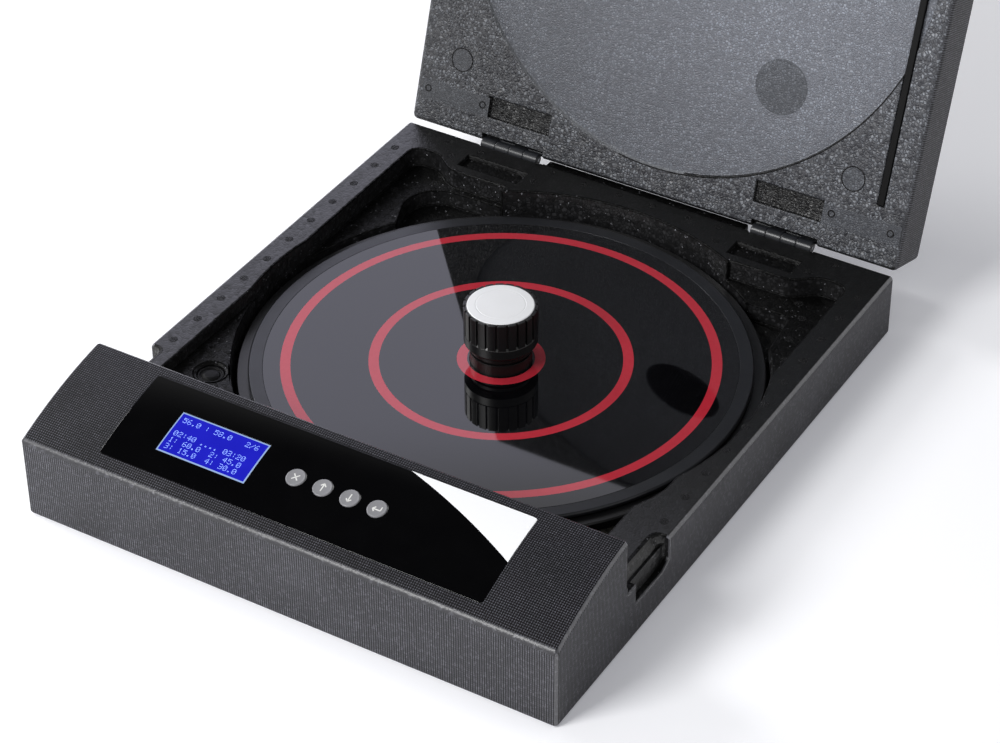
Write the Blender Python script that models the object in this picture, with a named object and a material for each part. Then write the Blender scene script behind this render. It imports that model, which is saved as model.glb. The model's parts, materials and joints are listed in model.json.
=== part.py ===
"""A record flattener: heated plates that press a warped record flat, in a hinged case of moulded bead foam.

Frame: metres, X to the right, Y from the console at the front to the hinges at the back, Z up.
The origin is the middle of the underside. The lid stands open on its hinges' stop and the plates are closed.
"""
import math

import bmesh
import bpy

mm = 0.001
degrees = math.pi / 180
quarter_turn = math.pi / 2

# Clearances shared by the whole part
seat_gap = 0.3 * mm
cut_overrun = 1.0 * mm
moving_gap = 0.4 * mm

# Lower case, with places along the case measured from its front face
front_height = 55.0 * mm
console_height = 77.0 * mm
console_depth = 78.5 * mm
console_bulge = 3.0 * mm
rim_height = 44.0 * mm
case_edge_round = 2.5 * mm
console_steps = 14

# Heater plate and what lies under it
heater_plate_radius = 162.2 * mm
heater_plate_thickness = 6.0 * mm
heater_plate_chamfer = 0.8 * mm
mat_inset = 16.2 * mm
mat_thickness = 1.5 * mm
insulation_inset = 4.2 * mm
insulation_thickness = 10.8 * mm
standoff_radius = 5.0 * mm
standoff_inset = 9.7 * mm
standoff_count = 4
sensor_width = 9.0 * mm
sensor_distance = 60.0 * mm
sensor_drop = 6.0 * mm

# Well and corner pockets
well_centre_x = 3.0 * mm
well_under_console = 7.4 * mm
well_clearance = 3.6 * mm
well_side_wall = 11.2 * mm
well_back_wall = 19.3 * mm
well_draft = 1.8 * mm
well_floor = 8.0 * mm
side_wall = 20.0 * mm
right_front_wall = 32.0 * mm
back_wall = 25.5 * mm
pocket_corner_radius = 8.0 * mm
front_pocket_floor = 35.0 * mm
front_pocket_reach = 40.0 * mm
back_pocket_floor = 30.0 * mm
bulge_half_length = 20.0 * mm
hinge_block_from_side = 59.0 * mm
hinge_block_width = 38.0 * mm
hinge_block_depth = 12.2 * mm
hinge_block_flare = 24.0 * mm
right_front_floor = 12.0 * mm
right_front_reach = 58.0 * mm
right_front_turn = 62.0 * mm
right_front_ease = 8.5 * mm
right_front_bend_across_share = 0.65
right_front_bend_along_share = 1.35
right_front_end_along_share = 2.6
right_front_end_angle = -20 * degrees
lobe_floor = 18.0 * mm
left_lobe_radius = 23.0 * mm
left_lobe_from_side = 61.5 * mm
left_lobe_from_back = 65.5 * mm
left_lobe_start_angle = 205 * degrees
left_lobe_end_angle = 146.3 * degrees
left_lobe_end_share = 0.97
right_lobe_radius = 7.0 * mm
right_lobe_from_side = 44.0 * mm
right_lobe_width = 31.0 * mm
right_lobe_from_back = 55.3 * mm
right_lobe_end_angle = 34.1 * degrees
well_edge_share = 0.99
lobe_slope = 1.0 * mm
curve_steps = 8

# Finger notches in both sides, just behind the console
notch_rim_depth = 10.6 * mm
notch_wall_top_depth = 9.0 * mm
notch_wall_foot_depth = 6.3 * mm
notch_rim_bevel = 1.5 * mm
notch_lower_depth = 4.5 * mm
notch_length = 48.0 * mm
notch_step_length = 9.5 * mm
notch_step_floor = 37.5 * mm
notch_floor = 24.0 * mm
notch_chamfer_length = 8.0 * mm
notch_chamfer_rise = 4.0 * mm
notch_end_radius = 5.0 * mm

# Rim recesses in front of the hinges
rim_recess_inner_overhang = 1.5 * mm
rim_recess_from_back = 17.0 * mm
rim_recess_length = 13.0 * mm
rim_recess_depth = 3.0 * mm

# Lip along the back between the hinges, which closes the gap under the open lid
back_lip_from_hinge = 5.5 * mm
back_lip_reach = 7.0 * mm
back_lip_height = 15.0 * mm
back_lip_below_rim = 1.6 * mm

# Plug in the front left pocket
plug_radius = 8.4 * mm
plug_height = 5.0 * mm
plug_dome = 1.2 * mm
plug_below_floor = 1.5 * mm
plug_from_well = 11.34 * mm
plug_angle = 216.7146 * degrees
plug_ring_width = 2.2 * mm
plug_ring_depth = 0.8 * mm

# Centre spindle
spindle_radius = 3.55 * mm
spindle_height = 39.0 * mm
spindle_shoulder_radius = 6.0 * mm
spindle_shoulder_height = 2.2 * mm
nut_across_flats = 13.0 * mm
nut_height = 5.0 * mm
spindle_end = 1.5 * mm

# Press plate
press_plate_inset = 7.3 * mm
press_plate_thickness = 2.8 * mm
press_plate_chamfer = 1.0 * mm
face_inset = 9.1 * mm
face_recess_depth = 1.2 * mm
pad_inset = 4.9 * mm
pad_thickness = 0.8 * mm
hub_radius = 19.3 * mm
hub_height = 8.5 * mm
hub_edge_round = 1.0 * mm
hub_screw_count = 3
hub_screw_circle_radius = 12.0 * mm
hub_screw_radius = 1.4 * mm
hub_screw_length = 6.5 * mm
hub_screw_head_radius = 2.7 * mm

# Clamp under the knob
washer_radius = 16.0 * mm
washer_thickness = 1.1 * mm
collar_radius = 19.3 * mm
collar_thickness = 2.5 * mm

# Knob
knob_radius = 22.8 * mm
knob_height = 28.1 * mm
knob_top_chamfer = 0.7 * mm
knob_bottom_chamfer = 2.8 * mm
knob_band_height = 9.0 * mm
knob_groove_foot = 0.6 * mm
knob_rib_count = 22
knob_groove_depth = 1.2 * mm
knob_groove_shares = ((0.06, 1.0), (0.13, 0.0), (0.87, 0.0), (0.94, 1.0))
cap_radius = 20.8 * mm
cap_thickness = 3.2 * mm
cap_proud = 0.5 * mm
cap_edge_round = 0.5 * mm
cap_dome = 0.4 * mm
insert_radius = 7.0 * mm
insert_height = 14.0 * mm
knob_wall = 3.4 * mm
knob_hollow_inner_radius = 10.5 * mm
knob_hollow_height = 12.0 * mm

# Hinges
hinge_from_side = 57.5 * mm
knuckle_length = 10.75 * mm
knuckle_count = 4
barrel_radius = 3.8 * mm
barrel_steps = 12
pin_radius = 1.3 * mm
hinge_behind_case = 0.8 * mm
parting_gap = 0.6 * mm
leaf_thickness = 2.0 * mm
leaf_from_axis = 1.8 * mm
leaf_length = 24.0 * mm
leaf_web = 8.0 * mm
rebate_side_gap = 2.0 * mm
rebate_height = 6.0 * mm
lid_rebate_reach = 6.4 * mm
lid_open_angle = 108.1 * degrees

# Lid, with places measured from its hinge edge
lid_thickness = 38.5 * mm
lid_front_gap = 1.2 * mm
lid_edge_round = 3.5 * mm
lid_recess_depth = 3.0 * mm
lid_recess_extra = 0.5 * mm
lid_recess_from_front = 8.0 * mm
lid_knob_pocket_radius = 29.0 * mm
lid_knob_headroom = 3.0 * mm
lid_pocket_draft = 2.0 * mm
hinge_recess_inner_overhang = 3.5 * mm
hinge_recess_outer_overhang = 1.0 * mm
hinge_recess_from_edge = 17.0 * mm
hinge_recess_length = 14.0 * mm
hinge_recess_depth = 3.0 * mm
strip_width = 4.4 * mm
strip_height = 3.0 * mm
strip_from_side = 19.3 * mm
strip_start = 39.0 * mm
strip_end_margin = 30.0 * mm

# Front panel, set along the console's slope
panel_width = 257.0 * mm
panel_front_margin = 10.962 * mm
panel_back_margin = 8.362 * mm
panel_centre_x = -1.2 * mm
panel_thickness = 2.0 * mm
panel_corner_radius = 3.0 * mm
panel_steps = 12
window_width = 60.8 * mm
window_front_margin = 14.9 * mm
window_back_margin = 18.2 * mm
window_from_left = 30.5 * mm

# Keys
key_names = ("cancel_key", "up_key", "down_key", "enter_key")
key_radius = 6.0 * mm
key_pitch = 18.1 * mm
key_first_from_window = 26.0 * mm
key_up_slope = 0.5 * mm
key_proud = 0.5 * mm
key_height = 5.2 * mm
key_flange_width = 1.2 * mm
key_edge_round = 0.5 * mm
key_travel = 0.8 * mm
key_travel_margin = 0.1 * mm

# Electronics under the panel
module_margin = 5.0 * mm
module_thickness = 6.0 * mm
board_thickness = 1.6 * mm
board_end_margin = 12.0 * mm
board_right_margin = 14.0 * mm
board_side_margin = 9.0 * mm
screw_inset = 5.0 * mm
screw_radius = 1.4 * mm
screw_head_radius = 2.8 * mm
screw_head_height = 1.8 * mm
screw_length = 8.0 * mm
switch_width = 6.0 * mm
switch_height = 3.4 * mm
switch_plunger_radius = 1.7 * mm
tray_thickness = 2.0 * mm
tray_post_radius = 3.4 * mm
tray_post_height = 6.0 * mm
bay_margin = 7.0 * mm
power_bay_length = 104.0 * mm
power_bay_front_wall = 24.0 * mm
power_bay_back_wall = 18.5 * mm
power_bay_floor = 14.0 * mm
power_board_thickness = 1.6 * mm
power_board_margin = 3.0 * mm
power_module_length = 34.0 * mm
power_module_margin = 8.0 * mm
power_module_height = 11.0 * mm
power_module_from_end = 26.0 * mm

# Power inlet in the left side and the leads inside the case
inlet_width = 14.0 * mm
inlet_height = 11.0 * mm
inlet_length = 30.0 * mm
inlet_lead_room = 37.6 * mm
inlet_centre_height = 22.0 * mm
inlet_socket_radius = 3.3 * mm
inlet_socket_depth = 12.0 * mm
inlet_pin_radius = 1.0 * mm
lead_radius = 2.0 * mm
heater_lead_radius = 0.75 * mm
heater_lead_from_bay_end = 21.6 * mm
heater_lead_tunnel = 6.0 * mm
heater_lead_end_margin = 5.0 * mm

# How finely round shapes are divided
plate_segments = 96
knob_segments = 48
small_segments = 16
tiny_segments = 12
corner_steps = 3
sharp_angle = 30 * degrees
smooth_angle = 35 * degrees
upright_angle = 15 * degrees

# Widths and places that follow from the sizes above
well_radius = heater_plate_radius + well_clearance
mat_radius = heater_plate_radius - mat_inset
insulation_radius = heater_plate_radius - insulation_inset
standoff_circle_radius = heater_plate_radius - standoff_inset
press_plate_radius = heater_plate_radius - press_plate_inset
face_radius = press_plate_radius - face_inset
pad_radius = press_plate_radius - pad_inset
case_width = 2 * (well_centre_x + well_radius + well_side_wall)
well_centre_from_front = console_depth - well_under_console + well_radius
case_depth = well_centre_from_front + well_radius + well_back_wall
hinge_outer = case_width / 2 - hinge_from_side
hinge_inner = hinge_outer - knuckle_count * knuckle_length
hinge_block_outer = case_width / 2 - hinge_block_from_side
hinge_block_inner = hinge_block_outer - hinge_block_width
right_lobe_outer = case_width / 2 - right_lobe_from_side
window_centre_x = panel_centre_x - panel_width / 2 + window_from_left + window_width / 2
key_first_x = window_centre_x + window_width / 2 + key_first_from_window
power_bay_width = console_depth - power_bay_front_wall - power_bay_back_wall
power_bay_from_front = power_bay_front_wall + power_bay_width / 2
power_module_width = power_bay_width - 2 * power_module_margin

# Heights that follow, from the case's floor up
insulation_bottom = well_floor + seat_gap
insulation_top = insulation_bottom + insulation_thickness
mat_bottom = insulation_top + seat_gap
mat_top = mat_bottom + mat_thickness
heater_plate_bottom = mat_top + seat_gap
heater_plate_top = heater_plate_bottom + heater_plate_thickness
pad_bottom = heater_plate_top + seat_gap
pad_top = pad_bottom + pad_thickness
press_plate_bottom = pad_top + seat_gap
press_plate_top = press_plate_bottom + press_plate_thickness
face_seat = press_plate_top - face_recess_depth
hub_bottom = face_seat + seat_gap
hub_top = hub_bottom + hub_height
washer_bottom = hub_top + seat_gap
washer_top = washer_bottom + washer_thickness
collar_bottom = washer_top + seat_gap
collar_top = collar_bottom + collar_thickness
knob_bottom = collar_top + seat_gap
knob_top = knob_bottom + knob_height
cap_top = knob_top + cap_proud
cap_bottom = cap_top - cap_thickness
bore_radius = spindle_radius + seat_gap
spindle_top = heater_plate_top + spindle_height


def from_front(distance):
    """Y of a place measured from the case's front face."""
    return distance - case_depth / 2


case_back = from_front(case_depth)
console_back = from_front(console_depth)
well_centre_y = from_front(well_centre_from_front)
hinge_axis_y = case_back + hinge_behind_case
hinge_axis_z = rim_height + parting_gap / 2
lid_length = case_depth - console_depth - lid_front_gap

# The console's top is an arc through its front and back edges
chord_rise = console_height - front_height
chord_length = math.hypot(console_depth, chord_rise)
slope = math.atan2(chord_rise, console_depth)
console_radius = ((chord_length / 2) ** 2 + console_bulge ** 2) / (2 * console_bulge)
panel_length = chord_length - panel_front_margin - panel_back_margin
panel_centre_up_slope = (panel_front_margin - panel_back_margin) / 2
window_length = panel_length - window_front_margin - window_back_margin
window_centre_up_slope = panel_centre_up_slope + (window_front_margin - window_back_margin) / 2


def console_drop(along):
    """How far the console's surface falls below the middle of its arc, at a distance along the slope."""
    return console_radius - math.sqrt(console_radius ** 2 - along ** 2)


def slope_point(along, above=0):
    """Y from the front face and height of a point given along the slope and above the console's surface."""
    rise = console_bulge - console_drop(along) + above
    distance = console_depth / 2 + along * math.cos(slope) - rise * math.sin(slope)
    height = front_height + chord_rise / 2 + along * math.sin(slope) + rise * math.cos(slope)
    return distance, height


# Materials

def material(name, colour, roughness, metallic=0.0):
    made = bpy.data.materials.new(name)
    made.use_nodes = True
    shader = made.node_tree.nodes["Principled BSDF"]
    shader.inputs["Base Color"].default_value = (*colour, 1.0)
    shader.inputs["Roughness"].default_value = roughness
    shader.inputs["Metallic"].default_value = metallic
    return made


def make_materials():
    return {
        "foam": material("bead_foam", (0.035, 0.036, 0.038), 0.8),
        "panel": material("gloss_panel", (0.004, 0.004, 0.005), 0.12),
        "display": material("blue_display", (0.03, 0.03, 0.70), 0.25),
        "key": material("grey_key", (0.30, 0.30, 0.29), 0.5),
        "board": material("green_board", (0.02, 0.16, 0.06), 0.45),
        "plastic": material("black_plastic", (0.02, 0.02, 0.02), 0.5),
        "plate": material("black_anodised_plate", (0.03, 0.03, 0.032), 0.4, 0.6),
        "face": material("gloss_black_face", (0.004, 0.004, 0.006), 0.05),
        "knob": material("black_knob", (0.012, 0.012, 0.012), 0.4),
        "cap": material("white_cap", (0.75, 0.75, 0.74), 0.35),
        "steel": material("steel", (0.45, 0.45, 0.46), 0.3, 1.0),
        "hinge": material("hinge_metal", (0.09, 0.10, 0.11), 0.35, 0.9),
        "brass": material("brass", (0.65, 0.47, 0.2), 0.3, 1.0),
        "mat": material("orange_silicone", (0.55, 0.12, 0.03), 0.6),
        "insulation": material("grey_insulation", (0.28, 0.27, 0.25), 0.9),
        "rubber": material("black_rubber", (0.01, 0.01, 0.01), 0.7),
        "lead": material("lead_jacket", (0.02, 0.02, 0.02), 0.5),
    }


# Mesh helpers

def arc(centre_x, centre_y, radius, start, end, steps):
    """Points along an arc, from the start angle to the end angle."""
    points = []
    for step in range(steps + 1):
        angle = start + (end - start) * step / steps
        points.append((centre_x + radius * math.cos(angle), centre_y + radius * math.sin(angle)))
    return points


def eased(start, end, steps):
    """Points along an S-shaped curve that leaves both ends parallel to X."""
    points = []
    for step in range(steps + 1):
        share = step / steps
        across = start[0] + (end[0] - start[0]) * share
        ease = (1 - math.cos(math.pi * share)) / 2
        points.append((across, start[1] + (end[1] - start[1]) * ease))
    return points


def rectangle(low_u, high_u, low_v, high_v):
    return [(low_u, low_v), (high_u, low_v), (high_u, high_v), (low_u, high_v)]


def prism(outline, low, high, axis="Z"):
    """An outline swept along an axis: (x, y) along Z, (y, z) along X, (x, z) along Y."""
    places = {"Z": (0, 1, 2), "X": (1, 2, 0), "Y": (0, 2, 1)}[axis]
    mesh = bmesh.new()

    def corner(u, v, w):
        point = [0, 0, 0]
        for place, value in zip(places, (u, v, w)):
            point[place] = value
        return mesh.verts.new(point)

    near = [corner(u, v, low) for u, v in outline]
    far = [corner(u, v, high) for u, v in outline]
    mesh.faces.new(near)
    mesh.faces.new(far)
    for index in range(len(outline)):
        after = (index + 1) % len(outline)
        mesh.faces.new((near[index], near[after], far[after], far[index]))
    bmesh.ops.recalc_face_normals(mesh, faces=mesh.faces)
    return mesh


def box(x_range, y_range, z_range):
    return prism(rectangle(*x_range, *y_range), *z_range)


def around(centre, width):
    """The range of a width about its centre."""
    return centre - width / 2, centre + width / 2


def turned(profile, segments, centre=(0, 0)):
    """A closed profile of (radius, height) points turned about a vertical axis."""
    mesh = bmesh.new()
    rings = []
    for radius, height in profile:
        if radius == 0:
            rings.append([mesh.verts.new((centre[0], centre[1], height))])
            continue
        ring = []
        for step in range(segments):
            angle = 2 * math.pi * step / segments
            ring.append(mesh.verts.new((centre[0] + radius * math.cos(angle),
                                        centre[1] + radius * math.sin(angle), height)))
        rings.append(ring)
    for ring, following in zip(rings, rings[1:] + rings[:1]):
        for step in range(segments):
            after = (step + 1) % segments
            corners = [ring[step % len(ring)], ring[after % len(ring)],
                       following[after % len(following)], following[step % len(following)]]
            corners = list(dict.fromkeys(corners))
            if len(corners) > 2:
                mesh.faces.new(corners)
    bmesh.ops.recalc_face_normals(mesh, faces=mesh.faces)
    return mesh


def cylinder(radius, low, high, segments, centre=(0, 0)):
    return turned([(0, low), (radius, low), (radius, high), (0, high)], segments, centre)


def tube(inner, outer, low, high, segments, centre=(0, 0)):
    return turned([(inner, low), (outer, low), (outer, high), (inner, high)], segments, centre)


def lofted(rings):
    """A closed solid through rings of equally many (x, y, z) points."""
    mesh = bmesh.new()
    loops = [[mesh.verts.new(point) for point in ring] for ring in rings]
    mesh.faces.new(loops[0])
    mesh.faces.new(loops[-1])
    for loop, following in zip(loops, loops[1:]):
        for index in range(len(loop)):
            after = (index + 1) % len(loop)
            mesh.faces.new((loop[index], loop[after], following[after], following[index]))
    bmesh.ops.recalc_face_normals(mesh, faces=mesh.faces)
    return mesh


def round_edges(mesh, width, segments, wanted=None):
    """Rounds the sharp outer edges of a mesh, or those of them that a test picks."""
    mesh.normal_update()
    edges = []
    for edge in mesh.edges:
        if edge.is_convex and edge.calc_face_angle(0) > sharp_angle and (wanted is None or wanted(edge)):
            edges.append(edge)
    bmesh.ops.bevel(mesh, geom=edges, offset=width, segments=segments, profile=0.5, affect="EDGES",
                    clamp_overlap=True)
    return mesh


def runs_along(axis):
    """A test for edges that run along one axis."""
    def test(edge):
        direction = edge.verts[1].co - edge.verts[0].co
        return abs(direction[axis]) > direction.length * math.cos(degrees)
    return test


def put(mesh, name, surface, parent=None, location=(0, 0, 0)):
    """Makes a named object of a mesh."""
    data = bpy.data.meshes.new(name)
    mesh.to_mesh(data)
    mesh.free()
    data.materials.append(surface)
    data.shade_smooth()
    data.set_sharp_from_angle(angle=smooth_angle)
    made = bpy.data.objects.new(name, data)
    bpy.context.collection.objects.link(made)
    made.parent = parent
    made.location = location
    return made


def combine(target, mesh, operation, parent=None):
    """Cuts a mesh out of an object, or joins it on, with a Boolean modifier."""
    count = len(target.modifiers) + 1
    name = "%s_%s_%d" % (target.name, operation.lower(), count)
    data = bpy.data.meshes.new(name)
    mesh.to_mesh(data)
    mesh.free()
    helper = bpy.data.objects.new(name, data)
    bpy.context.collection.objects.link(helper)
    helper.parent = parent or target.parent
    helper.location = (0, 0, 0) if parent else target.location
    helper.hide_render = True
    helper.display_type = "WIRE"
    step = target.modifiers.new(name, "BOOLEAN")
    step.operation = operation
    step.solver = "EXACT"
    step.object = helper


def cut(target, mesh, parent=None):
    combine(target, mesh, "DIFFERENCE", parent)


def join(target, mesh, parent=None):
    combine(target, mesh, "UNION", parent)


def empty(name, location, turn=0.0):
    """An empty that carries pieces, turned about X."""
    made = bpy.data.objects.new(name, None)
    bpy.context.collection.objects.link(made)
    made.location = location
    made.rotation_euler = (turn, 0, 0)
    return made


# Lower case

def case_body():
    """The case's side outline, swept across its width, with its outer edges rounded."""
    outline = [(from_front(0), 0), (case_back, 0), (case_back, rim_height), (console_back, rim_height)]
    for step in range(console_steps + 1):
        along = chord_length * (1 / 2 - step / console_steps)
        distance, height = slope_point(along)
        outline.append((from_front(distance), height))
    body = prism(outline, -case_width / 2, case_width / 2, "X")
    return round_edges(body, case_edge_round, 2)


def on_well(angle, share=1.0):
    """A point on the well's circle, or a share of the way out to it."""
    return (well_centre_x + share * well_radius * math.cos(angle),
            well_centre_y + share * well_radius * math.sin(angle))


def cut_well(case):
    profile = [(0, well_floor), (well_radius - well_draft, well_floor),
               (well_radius, rim_height + cut_overrun), (0, rim_height + cut_overrun)]
    cut(case, turned(profile, plate_segments, (well_centre_x, well_centre_y)))


def mirrored(outline):
    """An outline reflected from the right side to the left."""
    return [(-x, y) for x, y in outline]


def cut_pockets(case):
    """The corner pockets round the well, each outline closed through the well's own space."""
    top = rim_height + cut_overrun
    side = case_width / 2 - side_wall
    back = case_back - back_wall
    block = back - hinge_block_depth
    centre = (well_centre_x, well_centre_y)
    front_left = [(-side, console_back), (-side, well_centre_y - bulge_half_length), centre,
                  (well_centre_x - front_pocket_reach, console_back)]
    cut(case, prism(front_left, front_pocket_floor, top))

    radius = pocket_corner_radius
    back_right = [(side, well_centre_y + bulge_half_length)]
    back_right += arc(side - radius, back - radius, radius, 0, quarter_turn, corner_steps)
    flare_end = hinge_block_outer + hinge_block_flare
    back_right += eased((flare_end, back), (hinge_block_outer, block), curve_steps)
    back_right += [(hinge_block_inner, block), (hinge_block_inner, well_centre_y + bulge_half_length)]
    cut(case, prism(back_right, back_pocket_floor, top))
    cut(case, prism(mirrored(back_right), back_pocket_floor, top))

    # Deeper lobes in the floors of the two back pockets
    left_lobe = [on_well(left_lobe_end_angle, left_lobe_end_share)]
    lobe_middle = case_back - left_lobe_from_back
    left_lobe += arc(left_lobe_from_side - case_width / 2, lobe_middle, left_lobe_radius,
                     left_lobe_start_angle, quarter_turn, curve_steps)
    left_lobe += [(-hinge_block_inner, lobe_middle + left_lobe_radius + lobe_slope), centre]
    cut(case, prism(left_lobe, lobe_floor, top))
    lobe_edge = case_back - right_lobe_from_back
    right_lobe = [(right_lobe_outer - right_lobe_width, lobe_edge)]
    right_lobe += arc(right_lobe_outer - right_lobe_radius, lobe_edge - right_lobe_radius, right_lobe_radius,
                      quarter_turn, 0, corner_steps)
    right_lobe += [on_well(right_lobe_end_angle, well_edge_share), centre]
    cut(case, prism(right_lobe, lobe_floor, top))

    # The deep gap at the front right, which bulges past the well's circle
    inner = case_width / 2 - right_front_wall
    turn = console_back + right_front_turn
    front_right = [(inner, console_back), (inner, turn)]
    front_right += [(inner + right_front_ease * right_front_bend_across_share,
                     turn + right_front_ease * right_front_bend_along_share),
                    (inner + right_front_ease, turn + right_front_ease * right_front_end_along_share)]
    front_right += [on_well(right_front_end_angle, well_edge_share), centre,
                    (well_centre_x + right_front_reach, console_back)]
    cut(case, prism(front_right, right_front_floor, top))


def notch_ring(side, depth, height):
    """The outline of a side's upper notch at one height, with its back corner rounded."""
    inner = case_width / 2 - depth
    outer = case_width / 2 + cut_overrun
    end = console_back + notch_length
    radius = notch_end_radius
    ring = [(outer, console_back), (inner, console_back)]
    ring += arc(inner + radius, end - radius, radius, math.pi, quarter_turn, corner_steps)
    ring.append((outer, end))
    return [(side * x, y, height) for x, y in ring]


def cut_notches(case):
    """The finger notches behind the console, with a narrow ledge over a shallow lower part."""
    end = console_back + notch_length
    top = rim_height + cut_overrun
    lower = [(console_back + notch_step_length, top), (console_back + notch_step_length, notch_floor),
             (end - notch_chamfer_length, notch_floor), (end, notch_floor + notch_chamfer_rise), (end, top)]
    inner = case_width / 2 - notch_lower_depth
    outer = case_width / 2 + cut_overrun

    def inner_end(edge):
        middle = (edge.verts[0].co + edge.verts[1].co) / 2
        return middle.y > end - seat_gap and abs(middle.x) < inner + seat_gap and runs_along(2)(edge)

    for side in (-1, 1):
        cut(case, lofted([notch_ring(side, notch_wall_foot_depth, notch_step_floor),
                          notch_ring(side, notch_wall_top_depth, rim_height - notch_rim_bevel),
                          notch_ring(side, notch_rim_depth, rim_height),
                          notch_ring(side, notch_rim_depth, top)]))
        notch = prism(lower, *sorted((side * inner, side * outer)), "X")
        round_edges(notch, notch_lower_depth / 2, corner_steps, inner_end)
        cut(case, notch)


def cut_hinge_seats(case):
    """The recess in front of each hinge, the rebate round its barrel and the slot for its leaf."""
    recess_back = case_back - rim_recess_from_back
    leaf_outer = leaf_from_axis + leaf_thickness
    for side in (-1, 1):
        across = sorted((side * (hinge_inner - rim_recess_inner_overhang), side * hinge_outer))
        cut(case, box(across, (recess_back - rim_recess_length, recess_back),
                      (rim_height - rim_recess_depth, rim_height + cut_overrun)))
        rebate = sorted((side * (hinge_inner - rebate_side_gap), side * (hinge_outer + rebate_side_gap)))
        rebate_front = hinge_axis_y - leaf_outer - moving_gap
        cut(case, box(rebate, (rebate_front, case_back + cut_overrun),
                      (rim_height - rebate_height, rim_height + cut_overrun)))
        slot = sorted((side * (hinge_inner - seat_gap), side * (hinge_outer + seat_gap)))
        cut(case, box(slot, (hinge_axis_y - leaf_outer - seat_gap, hinge_axis_y - leaf_from_axis + seat_gap),
                      (hinge_axis_z - leaf_length - seat_gap, rim_height)))


def plug_centre():
    reach = well_radius + plug_from_well
    return well_centre_x + reach * math.cos(plug_angle), well_centre_y + reach * math.sin(plug_angle)


def cut_plug_seat(case):
    centre = plug_centre()
    top = front_pocket_floor + cut_overrun
    radius = plug_radius + seat_gap
    cut(case, cylinder(radius, plug_bottom - seat_gap, top, small_segments, centre))
    ring_floor = front_pocket_floor - plug_ring_depth
    cut(case, cylinder(radius + plug_ring_width, ring_floor, top, small_segments, centre))


def cut_electronics_bay(case):
    """The panel's recess, the bay under it, the power bay below and the ways for the leads."""
    across = around(panel_centre_x, panel_width + 2 * seat_gap)
    along = around(panel_centre_up_slope, panel_length + 2 * seat_gap)
    recess = curved_plate(across, along, cut_overrun, panel_thickness + seat_gap + cut_overrun)
    round_edges(recess, panel_corner_radius, corner_steps, is_panel_corner)
    cut(case, recess, panel_frame)
    cut(case, box(tray_x, bay_along, (tray_bottom - seat_gap, 0)), panel_frame)
    bay_y = around(from_front(power_bay_from_front), power_bay_width)
    bay_top = slope_point(0, tray_bottom)[1]
    cut(case, box((power_bay_x[0], power_bay_x[1]), bay_y, (power_bay_floor, bay_top)))
    tunnel_x = (-case_width / 2 - cut_overrun, power_bay_x[0] + cut_overrun)
    cut(case, box(tunnel_x, around(from_front(power_bay_from_front), inlet_width + 2 * seat_gap),
                  around(inlet_centre_height, inlet_height + 2 * seat_gap)))
    lead_y = (bay_y[1] - cut_overrun, console_back + well_clearance)
    cut(case, box(around(heater_lead_x, heater_lead_tunnel), lead_y,
                  around(heater_lead_height, heater_lead_tunnel)))


def make_case(surfaces):
    case = put(case_body(), "base_case", surfaces["foam"])
    lip_top = rim_height - back_lip_below_rim
    lip_half_width = hinge_inner - back_lip_from_hinge
    join(case, box((-lip_half_width, lip_half_width), around(case_back, 2 * back_lip_reach),
                   (lip_top - back_lip_height, lip_top)))
    cut_well(case)
    cut_pockets(case)
    cut_notches(case)
    cut_hinge_seats(case)
    cut_plug_seat(case)
    cut_electronics_bay(case)
    return case


def make_plug(surfaces):
    profile = [(0, plug_bottom), (plug_radius, plug_bottom), (plug_radius, plug_top - plug_dome),
               (plug_radius / 2, plug_top - plug_dome / 4), (0, plug_top)]
    put(turned(profile, small_segments), "pocket_plug", surfaces["rubber"], None, (*plug_centre(), 0))


# Front panel, display and keys, all in the frame of the console's slope

def curved_plate(across, along, top, thickness):
    """A plate that follows the console's arc, in the frame of its slope."""
    upper = []
    for step in range(panel_steps + 1):
        place = along[0] + (along[1] - along[0]) * step / panel_steps
        upper.append((place, top - console_drop(place)))
    lower = [(place, height - thickness) for place, height in reversed(upper)]
    return prism(upper + lower, *across, "X")


def is_panel_corner(edge):
    """The edges at a panel's four corners, which run through its thickness."""
    return runs_through(edge) and edge.is_convex


def runs_through(edge):
    direction = edge.verts[1].co - edge.verts[0].co
    upright = abs(direction.z) > direction.length * math.cos(upright_angle)
    return upright and direction.length > panel_thickness / 2


def key_places():
    return [(key_first_x + key_pitch * index, key_up_slope) for index in range(len(key_names))]


def make_panel(surfaces):
    across = around(panel_centre_x, panel_width)
    along = around(panel_centre_up_slope, panel_length)
    plate = curved_plate(across, along, 0, panel_thickness)
    round_edges(plate, panel_corner_radius, corner_steps, is_panel_corner)
    panel = put(plate, "front_panel", surfaces["panel"], panel_frame)
    low = -panel_thickness - console_drop(along[1]) - cut_overrun
    cut(panel, box(around(window_centre_x, window_width + 2 * seat_gap),
                   around(window_centre_up_slope, window_length + 2 * seat_gap), (low, cut_overrun)))
    for place in key_places():
        cut(panel, cylinder(key_radius + seat_gap, low, cut_overrun, small_segments, place))
    window = curved_plate(around(window_centre_x, window_width),
                          around(window_centre_up_slope, window_length), 0, panel_thickness)
    put(window, "display_window", surfaces["display"], panel_frame)


def make_keys(surfaces):
    """Round keys held from below by a flange under the panel."""
    flange_top = -panel_thickness - seat_gap - console_drop(key_radius + key_flange_width)
    bottom = key_proud - key_height
    flange_radius = key_radius + key_flange_width
    edge = key_proud - key_edge_round
    profile = [(0, bottom), (flange_radius, bottom), (flange_radius, flange_top), (key_radius, flange_top),
               (key_radius, edge), (key_radius - key_edge_round, key_proud), (0, key_proud)]
    for name, place in zip(key_names, key_places()):
        put(turned(profile, small_segments), name, surfaces["key"], panel_frame, (*place, 0))


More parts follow.
